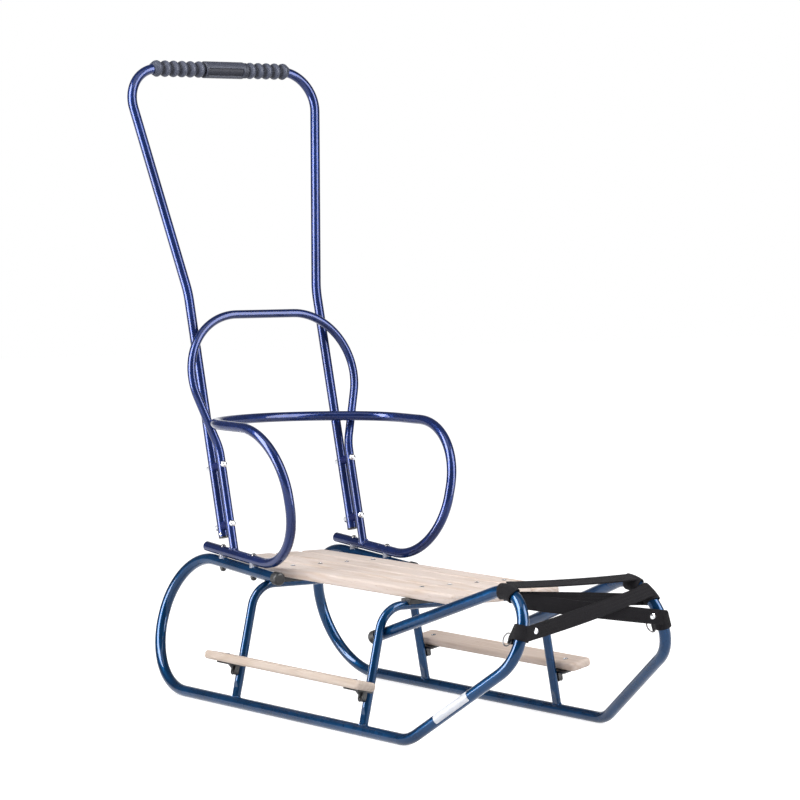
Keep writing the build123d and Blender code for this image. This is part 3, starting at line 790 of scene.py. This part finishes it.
@dataclass
class TubeFrame(Section):
    """Painted tubes, with their welds and the blank sticker."""

    weld_r: float = 0.0019
    weld_ripples: int = 34
    weld_uneven: float = 0.12
    foot_flat: float = 0.0044
    label_x: Pair = (0.353, 0.414)
    label_turn: Pair = (radians(-96), radians(45))
    label_face: Triple = (0.55, -0.80, 0.22)
    label_corner: float = 0.0016
    label_t: float = 0.00025

    def build(self) -> None:
        """Paints the CAD tubes and adds their welds and sticker."""
        self.paint(self.finishes.frame, "runner_left", "runner_right", "rear_arch", "front_arch")
        self.paint(self.finishes.rail, "arm_loop", "backrest_loop", "push_handle")
        self.build_welds()
        self.build_label()

    def saddle(self, foot: Array, up: Array, oval: tuple[Array, Array], on: Array, along: Array,
               radius: float) -> Shell:
        """A rippled weld bead where a tube stands on another.

        The path is the standing tube's oval q(t) = cos t wide + sin t deep, raised along up by the s that
        puts foot + q + s up at the lying tube's radius: |across(foot - on + q) + s across(up)| = radius.

        Args:
            foot: point on the standing tube's axis.
            up: unit direction up that axis.
            oval: the two half axes of its section, wide and deep.
            on: point on the lying tube's axis.
            along: unit direction of that axis.
            radius: lying tube's radius.

        Returns:
            The closed bead.
        """
        angle = turns(180)[:, None]
        edge = np.cos(angle) * oval[0] + np.sin(angle) * oval[1]
        across = np.eye(3) - np.outer(along, along)
        base = (foot - on + edge) @ across
        rise = up @ across
        b = base @ rise
        c = np.sum(base * base, axis=1) - radius**2
        s = (-b + np.sqrt(np.maximum(b * b - (rise @ rise) * c, 0))) / (rise @ rise)
        ripple = 1 + self.weld_uneven * np.sin(self.weld_ripples * angle[:, 0])
        return bead(foot + edge + s[:, None] * up, self.weld_r * ripple, up)

    def build_welds(self) -> None:
        """Makes the welds at the arches' feet and the backrest's feet."""
        lay = self.layout
        feet, backs = [], []
        for side in SIDES.values():
            up = lay.leg_axis(side)
            oval = AHEAD * lay.tube_r, np.cross(up, AHEAD) * self.foot_flat
            for x in lay.arches.values():
                foot = lay.leg_foot(x, side)
                feet.append(self.saddle(foot, up, oval, foot, AHEAD, lay.runner_r))
            up = unit(np.array([-tan(lay.back_tilt), 0.0, 1.0]))
            oval = lay.back_normal * lay.tube_r, LEFT * lay.tube_r
            on = lay.arm_axis(lay.middle - lay.back_foot_back, side)
            along = unit(np.array([1.0, side * lay.rear_lean * lay.rear_slope, -lay.rear_slope]))
            backs.append(self.saddle(lay.on_leg(side, on[2]), up, oval, on, along, lay.arm_r))
        Shell.joined(feet).piece("weld_arch_feet", self.finishes.frame, Slot.FRAME)
        Shell.joined(backs).piece("weld_backrest_feet", self.finishes.rail, Slot.RAIL)

    def build_label(self) -> None:
        """Makes the blank sticker wrapped on the right runner's diagonal.

        A patch in tube coordinates: length l along the tube and angle t round it, at radius R + label_t.
        Its corners are rounded by drawing in the ends: l = middle + (half - c + c sqrt(1 - k^2)) e, where
        k grows from 0 to 1 over the last corner width c of t.
        """
        lay = self.layout
        ends = [lay.on_front(lay.middle + x, lay.runner_r + lay.diagonal_slope * (x - lay.corner_front),
                             SIDES["right"]) for x in self.label_x]
        middle = (ends[0] + ends[1]) / 2
        along = unit(ends[1] - ends[0])
        half = np.linalg.norm(ends[1] - ends[0]) / 2
        outward = np.array(self.label_face)
        face = unit(outward - along * (outward @ along))
        t = np.linspace(*self.label_turn, 41)
        left = np.minimum(t - t[0], t[-1] - t) * lay.runner_r
        into = np.clip(1 - left / self.label_corner, 0, 1)
        reach = half - self.label_corner + self.label_corner * np.sqrt(1 - into**2)
        e = np.linspace(-1, 1, 25)
        spread = np.cos(t)[:, None] * face + np.sin(t)[:, None] * np.cross(along, face)
        flat = middle + e[None, :, None] * reach[:, None, None] * along
        outer = flat + (lay.runner_r + self.label_t) * spread[:, None, :]
        inner = flat + (lay.runner_r + self.label_t * 0.1) * spread[:, None, :]
        patch = Shell.lattice(np.concatenate([outer, inner[:, ::-1]], axis=1), False, t)
        patch.piece("runner_sticker", self.finishes.paper, None)


@dataclass
class Woodwork(Section):
    """Seat slats, footrest planks and what screws them down."""

    screw: Head = Head(0.0044, 0.0012, 0.001, Drive.CROSS)
    lug_bolt: Head = Head(0.0042, 0.0026, 0.0005, Drive.HEX)
    footrest_up: float = 0.0675
    footrest_t: float = 0.0135
    plank_out: float = 0.030
    lug_out: float = 0.0152
    lug_down: float = 0.0145

    def build(self) -> None:
        """Finishes the planks, each its own cut of birch, the saddles and the brackets, and adds screws."""
        for n, finish in zip(SLATS, self.finishes.slats):
            self.paint(finish, f"seat_slat_{n}")
        for side, finish in self.finishes.planks.items():
            self.paint(finish, f"footrest_{side}")
        self.paint(self.finishes.black, "seat_saddle")
        self.paint(self.finishes.bracket, "footrest_bracket")
        self.build_screws()

    def build_screws(self) -> None:
        """Makes the seat's and footrests' cross-head screws and the brackets' bolts."""
        lay = self.layout
        seat = []
        for n in SLATS:
            low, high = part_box(f"seat_slat_{n}")
            for x in lay.arches.values():
                seat.append(self.screw.at(np.array([x, (low[1] + high[1]) / 2, high[2]]), UP))
        Shell.joined(seat).piece("seat_screws", self.finishes.zinc, Slot.ZINC)
        planks, lugs = [], []
        for side in SIDES.values():
            axis = lay.leg_axis(side)
            out = np.array([0.0, side, -axis[1]])
            out = unit(out - axis * (out @ axis))
            for x in lay.arches.values():
                leg = lay.leg_foot(x, side) + axis * self.footrest_up
                planks.append(self.screw.at(leg + axis * self.footrest_t / 2 + out * self.plank_out, axis))
                lug = leg - axis * (self.footrest_t / 2 + self.lug_down) + out * self.lug_out
                lugs.append(self.lug_bolt.at(lug, out))
        Shell.joined(planks).piece("footrest_screws", self.finishes.zinc, Slot.ZINC)
        Shell.joined(lugs).piece("bracket_bolts", self.finishes.black, Slot.BLACK)


@dataclass
class Clamps(Section):
    """Bolted joints of the arm loop and the push handle, and the tube ends."""

    handle_head: Head = Head(0.0055, 0.004, 0.0028, Drive.HEX)
    arm_head: Head = Head(0.0044, 0.003, 0.0022, Drive.HEX)
    plug_screw: Head = Head(0.0026, 0.0012, 0.001, Drive.CROSS)
    plug_screw_down: float = 0.007
    plug_screw_sunk: float = 0.0004
    plug_screw_way: Pair = (0.35, 0.1)
    bolt_r: float = 0.003
    nut_r: float = 0.0055
    nut_skirt: float = 0.0024
    nut_h: float = 0.006
    tail: float = 0.003
    cap_filled: float = 0.8
    cap_r: float = 0.0046
    cap_base: tuple[Pair, ...] = ((0.0, -0.0018), (0.0054, -0.0018), (0.0054, 0.001), (0.0047, 0.0018))
    handle_z: Pair = (0.2805, 0.3745)

    def build(self) -> None:
        """Finishes the caps, plugs and spacers, and makes the bolts, nuts and screws."""
        self.paint(self.finishes.black, "runner_cap", "handle_plug")
        self.paint(self.finishes.spacer, "handle_spacer")
        self.paint(self.finishes.clear, "arm_spacer")
        self.build_handle_bolts()
        self.build_arm_bolts()
        self.build_plug_screws()

    def build_handle_bolts(self) -> None:
        """Makes each handle bolt: a socket head on the backrest, a shank, a nut behind the handle."""
        lay = self.layout
        back = -lay.back_normal
        reach = lay.handle_behind + lay.handle_r
        for side_name, side in SIDES.items():
            for level, z in zip(("low", "high"), self.handle_z):
                place = lay.on_leg(side, z)
                head = self.handle_head.at(place - back * lay.tube_r, -back)
                nut = hex_nut(place + back * reach, back, self.nut_r, self.nut_skirt, self.nut_h)
                shank = rod(place, back, self.bolt_r, -lay.tube_r, reach + self.nut_h + self.tail)
                name = f"handle_bolt_{level}_{side_name}"
                bolt = Shell.joined([head, nut, shank])
                made = bolt.piece(f"{name}_plated", self.finishes.zinc, Slot.ZINC)
                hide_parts(name)

    def build_arm_bolts(self) -> None:
        """Makes each arm bolt with its low socket head on top, and the black cap nut under the runner."""
        lay = self.layout
        caps = []
        for side_name in SIDES:
            for level in ("rear", "front"):
                name = f"arm_bolt_{level}_{side_name}"
                low, high = (np.array(corner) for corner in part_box(name))
                top = np.array([*(low + high)[:2] / 2, high[2] - lay.bolt_head_h])
                head = self.arm_head.at(top, UP)
                seat = top[2] - low[2] - self.nut_h - self.tail
                shank = rod(top, -UP, self.bolt_r, 0.0, seat + self.nut_h * self.cap_filled)
                made = Shell.joined([head, shank]).piece(f"{name}_plated", self.finishes.steel, Slot.ZINC)
                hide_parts(name)
                caps.append(self.cap_nut(top - UP * seat))
        Shell.joined(caps).piece("arm_cap_nuts", self.finishes.black, Slot.BLACK)

    def cap_nut(self, place: Array) -> Shell:
        """A domed plastic cap under a nut: flared skirt, waist, then the half ellipse r = R sqrt(1 - h^2).

        Args:
            place: centre of the nut's seat.

        Returns:
            The closed cap.
        """
        rise = np.linspace(0, 1, 10)
        dome = np.stack([self.cap_r * np.sqrt(1 - rise**2), self.nut_h * (0.4 + 0.6 * rise)], axis=1)
        return lathe(np.concatenate([self.cap_base, dome]), 36, place, -UP)

    def build_plug_screws(self) -> None:
        """Makes the small screw that holds each plug in the handle's foot."""
        lay = self.layout
        screws = []
        for side_name, side in SIDES.items():
            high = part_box(f"handle_plug_{side_name}")[1]
            place = lay.on_leg(side, high[2] - self.plug_screw_down, lay.handle_behind)
            way = unit(np.array([self.plug_screw_way[0], side, self.plug_screw_way[1]]))
            screws.append(self.plug_screw.at(place + way * (lay.handle_r - self.plug_screw_sunk), way))
        Shell.joined(screws).piece("handle_plug_screws", self.finishes.zinc, Slot.ZINC)


@dataclass
class PushGrip(Section):
    """The beaded rubber grip on the push handle's bar."""

    bar_z: float = 1.017
    straight: float = 0.1238
    bend: float = 0.059
    half: float = 0.135
    barrel: Pair = (-0.035, 0.043)
    beads: tuple[int, int] = (6, 5)
    pitch: float = 0.0167
    barrel_r: float = 0.0141
    barrel_ease: float = 0.0022
    shoulder_drop: float = 0.0012
    bead_r: float = 0.0138
    groove_r: float = 0.0098
    bore_r: float = 0.0083
    panel_half: Pair = (0.0365, 0.0078)
    panel_corner: float = 0.0050
    panel_depth: float = 0.0021
    panel_slope: float = 0.0006
    panel_turn: float = radians(-20)
    border_out: float = 0.0007
    border_w: float = 0.0004
    border_h: float = 0.0003
    # Shares of the grip's pale colour against its painted shade: barrel, the panel's painted shade, the ends.
    barrel_tone: float = 0.52
    panel_shade: float = 0.46
    end_tone: float = 0.7
    sunk_from: float = 0.0004

    @property
    def barrel_ends(self) -> Array:
        """How far the barrel reaches to the right and to the left, up to the first beads."""
        return self.half - self.pitch * np.array(self.beads)

    def bar(self, s: Array) -> tuple[Array, Array]:
        """The bar's line at length s from its middle: straight, then bent down round an arc at either end.

        Past the straight, y = straight + bend sin(a) and drop = bend (1 - cos(a)), where
        a = (|s| - straight) / bend.

        Args:
            s: lengths from the middle, shape (n,).

        Returns:
            Points and tangents, shape (n, 3) each.
        """
        lay = self.layout
        rise = np.array([-sin(lay.back_tilt), 0.0, cos(lay.back_tilt)])
        a = np.maximum(np.abs(s) - self.straight, 0)[:, None] / self.bend
        way = np.sign(s)[:, None]
        y = way * (np.minimum(np.abs(s), self.straight)[:, None] + self.bend * np.sin(a))
        middle = lay.on_back(0.0, self.bar_z, lay.handle_behind)
        line = middle + y * LEFT - self.bend * (1 - np.cos(a)) * rise
        return line, np.cos(a) * LEFT - way * np.sin(a) * rise

    def radius(self, s: Array, angle: Array) -> Array:
        """The grip's outside radius.

        Beads follow groove + (bead - groove) cos(pi q / 2)^1.3 with q from -1 to 1 over each pitch. The
        barrel is round with eased ends, less the panel: a rounded rectangle in (s, angle R), sunk by a
        smooth step inside a thin raised border.

        Args:
            s: lengths from the middle, shape (n, 1).
            angle: angles round the bar from the panel's middle, shape (1, m).

        Returns:
            Radii, shape (n, m).
        """
        low, high = self.barrel
        right, left = self.barrel_ends
        q = 2 * np.mod((self.half - np.abs(s)) / self.pitch, 1) - 1
        beads = self.groove_r + (self.bead_r - self.groove_r) * np.clip(np.cos(pi * q / 2), 0, 1) ** 1.3
        within = np.minimum(s + right, left - s)
        ease = np.clip(within / self.barrel_ease, 0, 1)
        barrel = self.groove_r + (self.barrel_r - self.groove_r) * np.sqrt(ease * (2 - ease))
        shoulder = np.where(s > high, self.barrel_r - self.shoulder_drop, barrel)
        body = np.where(within > 0, np.minimum(barrel, shoulder), beads)
        long = np.abs(s - (low + high) / 2) - self.panel_half[0]
        wide = np.abs(angle) * self.barrel_r - self.panel_half[1]
        past = np.stack(np.broadcast_arrays(long, wide)) + self.panel_corner
        edge = np.hypot(*np.maximum(past, 0)) + np.minimum(past.max(axis=0), 0) - self.panel_corner
        border = np.exp(-((edge - self.border_out) / self.border_w) ** 2) * (within > 0)
        step = np.clip(-edge / self.panel_slope, 0, 1)
        return body - self.panel_depth * step * step * (3 - 2 * step) + self.border_h * border

    def build(self) -> None:
        """Makes the grip as one closed sleeve, outside and bore."""
        s = np.linspace(-self.half, self.half, 541)
        angle = np.linspace(-pi, pi, 132, endpoint=False)
        line, tangent = self.bar(s)
        face = np.array([cos(self.panel_turn), 0.0, sin(self.panel_turn)])
        first = unit(face - tangent * (tangent @ face)[:, None])
        second = np.cross(tangent, first)
        round_bar = angle[None, :, None]
        ring = np.cos(round_bar) * first[:, None] + np.sin(round_bar) * second[:, None]
        outside = line[:, None] + self.radius(s[:, None], angle[None, :])[:, :, None] * ring
        bore = line[:, None] + self.bore_r * ring
        sleeve = Shell.lattice(np.concatenate([outside, bore[::-6], bore[:1]]), True)
        made = sleeve.piece("grip_beaded", self.finishes.rubber, Slot.RUBBER)
        self.mark_lit_share(made.data, line[len(line) // 2])
        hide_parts("handle_grip")

    def mark_lit_share(self, mesh: bpy.types.Mesh, middle: Array) -> None:
        """Stores a share per point, 0 to 1, of pale colour against painted shade, as a point attribute.

        Args:
            mesh: the grip's mesh.
            middle: the middle of the bar.
        """
        points = np.empty(len(mesh.vertices) * 3, dtype=np.float32)
        mesh.vertices.foreach_get("co", points)
        x, y, z = (points.reshape(-1, 3) - middle).T
        out = np.hypot(x, z)
        right, left = self.barrel_ends
        # On the beads the share follows the height out of the grooves: painted shade in the hollows.
        bead_lit_share = np.clip((out - self.groove_r) / (self.bead_r - self.groove_r), 0, 1)
        sunk = np.clip((self.barrel_r - self.sunk_from - out) / self.panel_depth, 0, 1)
        # The sunk panel is darker by painted shade in its recess.
        tone = np.where((y > -right) & (y < left), self.barrel_tone - self.panel_shade * sunk, bead_lit_share)
        tone = np.where(np.abs(y) > self.straight, self.end_tone, tone)
        mesh.attributes.new("lit_share", "FLOAT", "POINT").data.foreach_set("value", tone)


@dataclass
class Curl:
    """The bent front of one runner, which the webbing is wound round."""

    layout: Layout
    side: int

    @property
    def centre(self) -> Array:
        """Centre of the curl's bend."""
        lay = self.layout
        return lay.on_front(lay.front_x - lay.curl_bend, lay.curl_centre_z, self.side)

    @property
    def square(self) -> Array:
        """Direction square to the curl's plane, up the lean."""
        return unit(np.array([0.0, 1.0, self.layout.front_lean * self.side]))

    def out_at(self, spot: Pair) -> Array:
        """Returns the direction from the bend's centre towards a spot (x from the layout's middle, z)."""
        return unit(self.layout.on_front(self.layout.middle + spot[0], spot[1], self.side) - self.centre)

    def along(self, out: Array) -> Array:
        """Returns the tube's direction, down and back over the front, where out points from the centre."""
        return np.cross(self.square, out)

    def mapped(self, out: Array, angle: Array, across: Array, radius: Array) -> Array:
        """Maps tube coordinates to points, bent with the tube.

        At arc c from out, o(c) = cos c out + sin c along, and
        point = centre + bend o + r (cos a o + sin a square).

        Args:
            out: direction to the middle of the wrap.
            angle: angle a round the tube.
            across: distance along the tube from the middle, at the tube's axis.
            radius: distance r from the tube's axis.

        Returns:
            Points, of the arguments' shape with 3 more.
        """
        arc = (across / self.layout.curl_bend)[..., None]
        turned_out = np.cos(arc) * out + np.sin(arc) * self.along(out)
        ring = np.cos(angle)[..., None] * turned_out + np.sin(angle)[..., None] * self.square
        return self.centre + self.layout.curl_bend * turned_out + radius[..., None] * ring


@dataclass
class TowStrap(Section):
    """Flat webbing wound between the curls, with a folded loop and a ring at each end."""

    width: float = 0.025
    thick: float = 0.002
    flat_share: float = 0.94
    loose: float = 0.0012
    ripple: float = 0.0003
    loop_z: float = 0.181
    fold_out: float = 0.021
    fold_eye_r: float = 0.0025
    fold_w: float = 0.012
    fold_drop: float = 0.006
    wrap_w: float = 0.027
    tail_w: float = 0.023
    nod: float = radians(17)
    upright: Triple = (0.25, 0.0, -0.97)
    loop_lift: float = 0.006
    tail_lift: float = 0.0115
    wrap_left_low: Pair = (0.471, 0.221)
    wrap_left_high: Pair = (0.447, 0.238)
    wrap_right: Pair = (0.439, 0.242)
    wrap_skews: Triple = (0.002, -0.003, -0.005)
    wrap_right_wider: float = 1.3
    front_sag: float = 0.002
    rear_sag: float = 0.001
    hidden_from: Pair = (0.09, 0.10)
    rivet_share: Pair = (0.07, 0.085)
    rivet: Head = Head(0.0044, 0.0016, 0.0022, Drive.EYE)

    @property
    def round_r(self) -> float:
        """Radius of the tape's middle round a tube."""
        return self.layout.runner_r + self.loose + self.thick / 2

    @property
    def loop_spot(self) -> Pair:
        """Where the end loops go round the curls."""
        return self.layout.runner_front, self.loop_z

    def section(self) -> tuple[Array, Array, Array]:
        """The tape's rounded section.

        Returns:
            Crosswise share and height share from -1 to 1, and the crosswise weave coordinate in metres.
        """
        flat = np.linspace(-self.flat_share, self.flat_share, 13)
        edge = np.linspace(-pi / 2, pi / 2, 5)[1:-1]
        bulge = self.flat_share + (1 - self.flat_share) * np.cos(edge)
        top = np.ones_like(flat)
        across = np.concatenate([flat, bulge[::-1], flat[::-1], -bulge])
        height = np.concatenate([top, np.sin(edge)[::-1], -top, np.sin(edge)])
        weave = across * self.width / 2
        return across, height, np.append(weave, weave[0])

    def span(self, start: Array, start_across: Array, stop: Array, stop_across: Array, sag: float) -> Shell:
        """A length of tape between two wraps.

        The middle line is start + s (stop - start) - 4 sag s (1 - s) up, the crosswise way turns smoothly
        from one end's to the other's, and the section is carried along it.

        Args:
            start: middle of the tape at its first end.
            start_across: crosswise direction there.
            stop: middle of the tape at its second end.
            stop_across: crosswise direction there.
            sag: droop at mid length.

        Returns:
            The closed tape.
        """
        s = np.linspace(0, 1, 60)[:, None]
        line = start + s * (stop - start) - 4 * sag * s * (1 - s) * UP
        run = unit(np.gradient(line, axis=0))
        ease = s * s * (3 - 2 * s)
        across = (1 - ease) * start_across + ease * stop_across
        across = unit(across - run * np.sum(across * run, axis=1, keepdims=True))
        normal = np.cross(run, across)
        share, height, weave = self.section()
        points = (line[:, None] + share[None, :, None] * across[:, None] * self.tail_w / 2
                  + height[None, :, None] * normal[:, None] * self.thick / 2)
        return Shell.lattice(points, False, s[:, 0] * np.linalg.norm(stop - start), weave)

    def wrap(self, curl: Curl, spot: Pair, skew: float, width: float) -> Shell:
        """A turn of tape round a curl, in its tube coordinates, skewed along the tube by skew sin(a).

        Args:
            curl: the curl that the tape goes round.
            spot: where on the curl.
            skew: the skew's height.
            width: the turn's width.

        Returns:
            The closed turn.
        """
        angle = turns(72)[:, None]
        share, height, weave = self.section()
        across = share[None, :] * width / 2 + skew * np.sin(angle)
        radius = self.round_r + height[None, :] * self.thick / 2 + self.ripple * np.sin(3 * angle)
        points = curl.mapped(curl.out_at(spot), np.broadcast_to(angle, across.shape), across, radius)
        return Shell.lattice(points, True, np.linspace(0, 2 * pi * self.round_r, 73), weave)

    def loop(self, curl: Curl) -> Shell:
        """The end loop: round the tube and round a small eye, narrowing and dropping towards the eye.

        The path is the belt round two circles: radius R at the tube, radius r at the eye a distance d
        behind it, tangent where cos t = (r - R) / d.

        Args:
            curl: the curl that the loop goes round.

        Returns:
            The closed loop.
        """
        out = curl.out_at(self.loop_spot)
        along, square = curl.along(out), curl.square
        origin = curl.centre + out * self.layout.curl_bend
        big = self.round_r
        small = self.fold_eye_r + self.thick / 2
        tangent = np.arccos((small - big) / self.fold_out)
        front = np.linspace(-tangent, tangent, 60)
        rear = np.linspace(tangent, 2 * pi - tangent, 24)
        straight = np.linspace(0, 1, 14)[1:-1, None]
        ring = big * np.stack([np.cos(front), np.sin(front)], axis=1)
        eye = small * np.stack([np.cos(rear), np.sin(rear)], axis=1) - np.array([self.fold_out, 0.0])
        upper = ring[-1] * (1 - straight) + eye[0] * straight
        lower = eye[-1] * (1 - straight) + ring[0] * straight
        path = np.concatenate([ring, upper, eye, lower])
        way = unit(np.roll(path, -1, axis=0) - np.roll(path, 1, axis=0))
        normal = np.stack([way[:, 1], -way[:, 0]], axis=1)
        share, height, weave = self.section()
        rear_share = np.clip((-path[:, 0] - big) / (self.fold_out - big), 0, 1)[:, None]
        half = (1 - rear_share) * self.tail_w / 2 + rear_share * self.fold_w / 2
        drop = rear_share * self.fold_drop - (1 - rear_share) * self.loop_lift + share[None, :] * half
        flat = path[:, None, :] + height[None, :, None] * normal[:, None, :] * self.thick / 2
        points = origin + flat[..., :1] * out + flat[..., 1:] * square + drop[..., None] * along
        step = np.linalg.norm(np.roll(path, -1, axis=0) - path, axis=1)
        return Shell.lattice(points, True, np.append(0, np.cumsum(step)), weave)

    def on_tube(self, curl: Curl, spot: Pair, way: int = 1, lift: float = 0.0) -> tuple[Array, Array]:
        """Finds the tape on one side of a curl's tube.

        Args:
            curl: the curl.
            spot: where on the curl.
            way: 1 for its outer side, -1 for its inner side.
            lift: how far up the tube from the spot.

        Returns:
            The tape's middle and its crosswise direction.
        """
        out = curl.out_at(spot)
        along = curl.along(out)
        return curl.centre + out * (self.layout.curl_bend + way * self.round_r) - along * lift, along

    def build(self) -> None:
        """Winds the webbing, sets its rivets and finishes its rings."""
        right, left = (Curl(self.layout, side) for side in SIDES.values())
        right_tail = self.on_tube(right, self.loop_spot, lift=self.loop_lift)
        left_tail = self.on_tube(left, self.loop_spot, lift=self.tail_lift)
        left_low = self.on_tube(left, self.wrap_left_low)
        left_back = self.on_tube(left, self.wrap_left_low, -1)
        left_high = self.on_tube(left, self.wrap_left_high)[0]
        right_top = self.on_tube(right, self.wrap_right)[0]
        right_under = self.on_tube(right, self.wrap_right, -1)[0]
        nodding = np.array([cos(self.nod), 0.0, -sin(self.nod)])
        upright = np.array(self.upright)
        rear, second = (right_under + share * (end[0] - right_under)
                        for share, end in zip(self.hidden_from, (left_tail, left_back)))
        spans = [self.span(*right_tail, *left_low, sag=self.front_sag),
                 self.span(left_high, nodding, right_top, nodding, sag=self.front_sag),
                 self.span(rear, upright, *left_tail, sag=self.rear_sag),
                 self.span(second, upright, *left_back, sag=0.0)]
        wraps = [self.wrap(left, self.wrap_left_low, self.wrap_skews[0], self.wrap_w),
                 self.wrap(left, self.wrap_left_high, self.wrap_skews[1], self.wrap_w),
                 self.wrap(right, self.wrap_right, self.wrap_skews[2], self.wrap_w * self.wrap_right_wider)]
        tape = Shell.joined([*spans, *wraps, self.loop(right), self.loop(left)])
        made = tape.piece("tow_webbing", self.finishes.webbing, Slot.WEBBING)
        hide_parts("tow_strap")
        rivets = [self.rivet_on(*right_tail, left_low[0], self.rivet_share[0]),
                  self.rivet_on(*left_tail, right_under, self.rivet_share[1])]
        Shell.joined(rivets).piece("strap_rivets", self.finishes.zinc, Slot.ZINC)
        self.paint(self.finishes.steel, "tow_ring")

    def rivet_on(self, start: Array, across: Array, stop: Array, share: float) -> Shell:
        """An eyelet rivet on the front of a tail, a little way from its loop.

        Args:
            start: the tail's middle at its loop.
            across: its crosswise direction there.
            stop: the tail's other end.
            share: how far along the tail.

        Returns:
            The closed rivet.
        """
        run = unit(stop - start)
        normal = np.cross(run, unit(across - run * (across @ run)))
        normal = normal if normal[0] > 0 else -normal
        return self.rivet.at(start + share * (stop - start) + normal * self.thick / 2, normal)


@dataclass(frozen=True)
class Softbox:
    """A soft box: where it stands, azimuth in degrees counted as the camera's, its size and its watts."""

    name: str
    azimuth: float
    height: float
    distance: float
    size: Pair
    power: float
    unseen: Unseen = Unseen.NONE
    aim_z: float = 0.45

    def hang(self) -> None:
        """Hangs the lamp, facing the sled's middle."""
        a = radians(self.azimuth)
        place = Vector((sin(a) * self.distance, -cos(a) * self.distance, self.height))
        data = bpy.data.lights.new(self.name, "AREA")
        data.shape = "RECTANGLE"
        data.size, data.size_y = self.size
        data.energy = self.power
        lamp = bpy.data.objects.new(self.name, data)
        lamp.location = place
        lamp.rotation_mode = "QUATERNION"
        lamp.rotation_quaternion = (Vector((0, 0, self.aim_z)) - place).to_track_quat("-Z", "Y")
        if self.unseen is not Unseen.NONE:
            setattr(lamp, self.unseen.value, False)
        bpy.context.scene.collection.objects.link(lamp)


@dataclass
class Studio:
    """Camera, floor and lights."""

    place: Triple = (4.44045, -3.30528, 0.85667)
    azimuth: float = radians(53.236)
    elevation: float = radians(3.7704)
    roll: float = radians(0.4317)
    lens: float = 158.772
    sensor: float = 36.0
    far: float = 60.0
    floor_half: float = 9.0
    floor_tone: Colour = (0.70, 0.70, 0.71)
    floor_glow: float = 0.74
    fill: float = 0.48
    room: float = 0.15
    room_edge: Pair = (-0.99, -0.75)
    lamps: tuple[Softbox, ...] = (
        Softbox("softbox_left", 2.0, 1.9, 2.6, (1.0, 2.4), 60.0, Unseen.GLOSSY),
        Softbox("softbox_right", 105.0, 1.9, 2.6, (1.0, 2.4), 34.0, Unseen.GLOSSY),
        Softbox("strip_left", -18.0, 1.5, 2.4, (1.3, 3.2), 250.0, Unseen.DIFFUSE),
        Softbox("strip_right", 124.0, 1.5, 2.4, (1.6, 3.2), 160.0, Unseen.DIFFUSE),
        Softbox("softbox_top", 53.0, 3.0, 0.6, (2.0, 1.4), 16.0),
    )

    def build_camera(self) -> None:
        """Sets the camera: back = (sin a cos e, -cos a cos e, sin e), right and up turned by the roll."""
        a, e, r = self.azimuth, self.elevation, self.roll
        back = Vector((sin(a) * cos(e), -cos(a) * cos(e), sin(e)))
        level = Vector((cos(a), sin(a), 0.0))
        rise = back.cross(level)
        right = level * cos(r) + rise * sin(r)
        up = rise * cos(r) - level * sin(r)
        data = bpy.data.cameras.new("camera")
        data.lens = self.lens
        data.sensor_width = self.sensor
        data.clip_end = self.far
        camera = bpy.data.objects.new("camera", data)
        turn = Matrix((right, up, back)).transposed().to_4x4()
        camera.matrix_world = Matrix.Translation(self.place) @ turn
        bpy.context.scene.collection.objects.link(camera)
        bpy.context.scene.camera = camera

    def build_floor(self) -> None:
        """Lays the pale floor, white to the camera and in mirrors, which keeps the sled's shadow."""
        mesh = bpy.data.meshes.new("floor")
        corners = np.array([[-1, -1, 0], [1, -1, 0], [1, 1, 0], [-1, 1, 0]]) * self.floor_half
        mesh.from_pydata(corners.tolist(), [], [[0, 1, 2, 3]])
        material, tree, shader = new_material("white floor")
        path = tree.add("LightPath").outputs
        mirrored = tree.math("MAXIMUM", path["Is Glossy Ray"], path["Is Transmission Ray"])
        seen = tree.math("MAXIMUM", path["Is Camera Ray"], mirrored)
        glow = tree.math("MULTIPLY", seen, self.floor_glow)
        values = {"Base Color": self.floor_tone, "Roughness": 0.9, "Specular IOR Level": 0.0,
                  "Emission Color": WHITE, "Emission Strength": glow}
        for key, value in values.items():
            tree.feed(shader.inputs[key], value)
        mesh.materials.append(material)
        floor = bpy.data.objects.new("floor", mesh)
        bpy.context.scene.collection.objects.link(floor)

    def build_world(self) -> None:
        """Surrounds the sled with a white sweep, and a dimmer room beside the camera for tubes to mirror."""
        world = bpy.data.worlds.new("studio")
        bpy.context.scene.world = world
        world.use_nodes = True
        world.node_tree.nodes.clear()
        tree = Tree(world.node_tree)
        way = tree.add("TexCoord").outputs["Generated"]
        behind = tree.vector("DOT_PRODUCT", way, (sin(self.azimuth), -cos(self.azimuth), 0.05))
        dim = tree.ramp(behind.outputs["Value"], *self.room_edge, 1.0, self.room)
        path = tree.add("LightPath").outputs
        lit, mirrored, white = (tree.add("Background", None, Color=WHITE, Strength=level).outputs[0]
                                for level in (self.fill, dim, 1.0))
        shown = tree.math("MAXIMUM", path["Is Camera Ray"], path["Is Transmission Ray"])
        sweep = tree.blend(shown, tree.blend(path["Is Glossy Ray"], lit, mirrored), white)
        tree.add("OutputWorld", None, Surface=sweep)

    def build(self) -> None:
        """Sets up the whole studio."""
        bpy.context.scene.view_settings.view_transform = "Standard"
        self.build_camera()
        self.build_floor()
        self.build_world()
        for lamp in self.lamps:
            lamp.hang()


def main() -> None:
    """Builds the sled's looks in order."""
    logging.basicConfig(level=logging.INFO, format="%(name)s %(message)s")
    layout = Layout()
    finishes = Finishes()
    for section in (TubeFrame, Woodwork, Clamps, PushGrip, TowStrap):
        section(layout, finishes).build()
    Studio().build()


if __name__ == "__main__":
    main()
